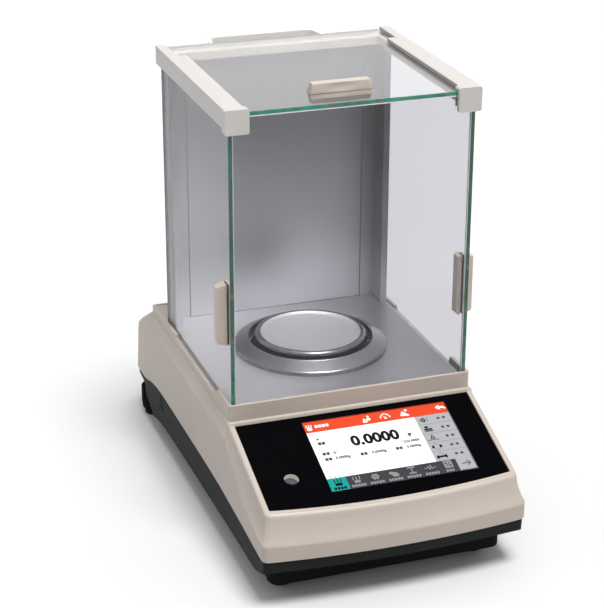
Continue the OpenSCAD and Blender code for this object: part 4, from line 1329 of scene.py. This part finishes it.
lo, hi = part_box("left_grip_outer")
GY, GZ = (lo.y + hi.y) / 2 / MM, (lo.z + hi.z) / 2 / MM
tlo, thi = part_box("top_grip_outer")
TGY, TGZ = (tlo.y + thi.y) / 2 / MM, tlo.z / MM
grip_mesh("left_door_grip", lambda p: (-95.5 - p[2], GY + p[1], GZ + p[0]), GRIP, "left_door", "left_grip_outer")
grip_mesh("right_door_grip", lambda p: (95.5 + p[2], GY + p[1], GZ - p[0]), GRIP, "right_door", "right_grip_outer")
grip_mesh("top_door_grip", lambda p: (p[0], TGY + p[1], TGZ + p[2]), GRIP, "top_door", "top_grip_outer")
for n in ("left_grip_inner", "right_grip_inner", "top_grip_inner"):
    finish_cad(n, GRIP_IN, 0.4, 3)

# ------------------------------------------------------------------ frame
finish_cad("left_rail", FRAME, 0.7, 3)
finish_cad("right_rail", FRAME, 0.7, 3)
# painted shade: the rails' inner faces below the top take the darker frame copy
for n in ("left_rail", "right_rail"):
    me = NODES[n].data
    me.materials.append(FRAME_PAINTED_SHADE)
    for p in me.polygons:
        if abs(p.center.x) < 0.0925 and p.center.z < 0.3436:
            p.material_index = 1
finish_cad("left_front_cap", FRAME, 0.7, 3)
finish_cad("right_front_cap", FRAME, 0.7, 3)
# painted shade: the crossbar takes the darker frame copy
finish_cad("crossbar", FRAME_PAINTED_SHADE, 0.6, 3)
# painted light: the rear grip takes the paler frame copy
finish_cad("rear_grip", FRAME_PAINTED_LIGHT, 0.6, 3)
finish_cad("frame_screws", STEEL_SCREW, 0.3, 2)
finish_cad("case_screws", STEEL_SCREW, 0.3, 2)

# ------------------------------------------------------------------ inside and rear
for n in ("cell_frame", "load_receiver", "upper_guide", "lower_guide", "cell_lever"):
    finish_cad(n, ALU, 0.4, 2)
finish_cad("cell_coil", COPPER, 0.2, 2)
finish_cad("magnet_pot", IRON, 0.5, 2)
finish_cad("position_sensor", BOARD, 0.2, 2)
finish_cad("cell_screws", STEEL_SCREW, 0.3, 2)
finish_cad("main_board", BOARD, 0.25, 2)
finish_cad("board_screws", STEEL_SCREW, 0.3, 2)
finish_cad("display_ribbon", RIBBON, 0.0)
finish_cad("rear_port_plate", PORTP, 0.4, 2)
finish_cad("power_jack", BLACKP, 0.4, 2)
finish_cad("serial_port", NICKEL, 0.4, 2)

# ------------------------------------------------------------------ stage
bpy.ops.mesh.primitive_plane_add(size=14, location=(0, 2.0, -0.0003))
floor = bpy.context.object
floor.name = "stage_floor"
fm, nt, b = material("stage_floor")
nf = noise(nt, coords(nt), 2.0, 2.0)
nt.links.new(mix_rgb(nt, nf, (0.54, 0.54, 0.54, 1), (0.55, 0.55, 0.55, 1)), b.inputs["Base Color"])
b.inputs["Roughness"].default_value = 0.9
b.inputs["Specular IOR Level"].default_value = 0.0
b.inputs["Emission Color"].default_value = (1, 1, 1, 1)
b.inputs["Emission Strength"].default_value = 0.02
floor.data.materials.append(fm)

world = bpy.data.worlds.new("studio")
bpy.context.scene.world = world
world.use_nodes = True
wt = world.node_tree
bg = next(n for n in wt.nodes if n.type == "BACKGROUND")
wc = wt.nodes.new("ShaderNodeTexCoord")
ws_ = wt.nodes.new("ShaderNodeSeparateXYZ")
wt.links.new(wc.outputs["Generated"], ws_.inputs[0])
wcol = ramp(wt, ws_.outputs["Z"], [(0.0, (0.22, 0.225, 0.24, 1)), (0.35, (0.40, 0.405, 0.42, 1)), (0.75, (0.86, 0.865, 0.875, 1)), (1.0, (1.0, 1.0, 1.005, 1))])
# bright sweep behind the object
sweep = math_node(wt, "MULTIPLY", remap(wt, ws_.outputs["Y"], 0.0, 1.0, 0.35, 0.8), remap(wt, ws_.outputs["Z"], 1.0, 0.0, 0.5, 0.75))
wcol = mix_rgb(wt, sweep, wcol, (1.15, 1.15, 1.17, 1))
wt.links.new(wcol, bg.inputs["Color"])
bg.inputs["Strength"].default_value = 1.0

sun_data = bpy.data.lights.new("key", "SUN")
sun_data.energy = 3.6
sun_data.angle = math.radians(24.0)
sun_data.color = (1.0, 0.992, 0.98)
sun = bpy.data.objects.new("key", sun_data)
bpy.context.scene.collection.objects.link(sun)
sun.rotation_euler = Vector((0.08, -0.31, 0.94)).to_track_quat("Z", "Y").to_euler()

cam_data = bpy.data.cameras.new("camera")
cam_data.sensor_width = 36.0
cam_data.lens = 1865.26 * 36.0 / 608.0
cam_data.clip_end = 50
cam = bpy.data.objects.new("camera", cam_data)
bpy.context.scene.collection.objects.link(cam)
R0 = Vector((0.94501641, -0.32701008, 0.0028969))
R1 = Vector((0.12427626, 0.36730779, 0.9217594))
R2 = Vector((-0.30248867, -0.87071775, 0.38775148))
cam.matrix_world = Matrix(((R0.x, R1.x, R2.x, -0.459775), (R0.y, R1.y, R2.y, -1.289812), (R0.z, R1.z, R2.z, 0.732720), (0, 0, 0, 1)))
bpy.context.scene.camera = cam
bpy.context.scene.view_settings.view_transform = "Standard"
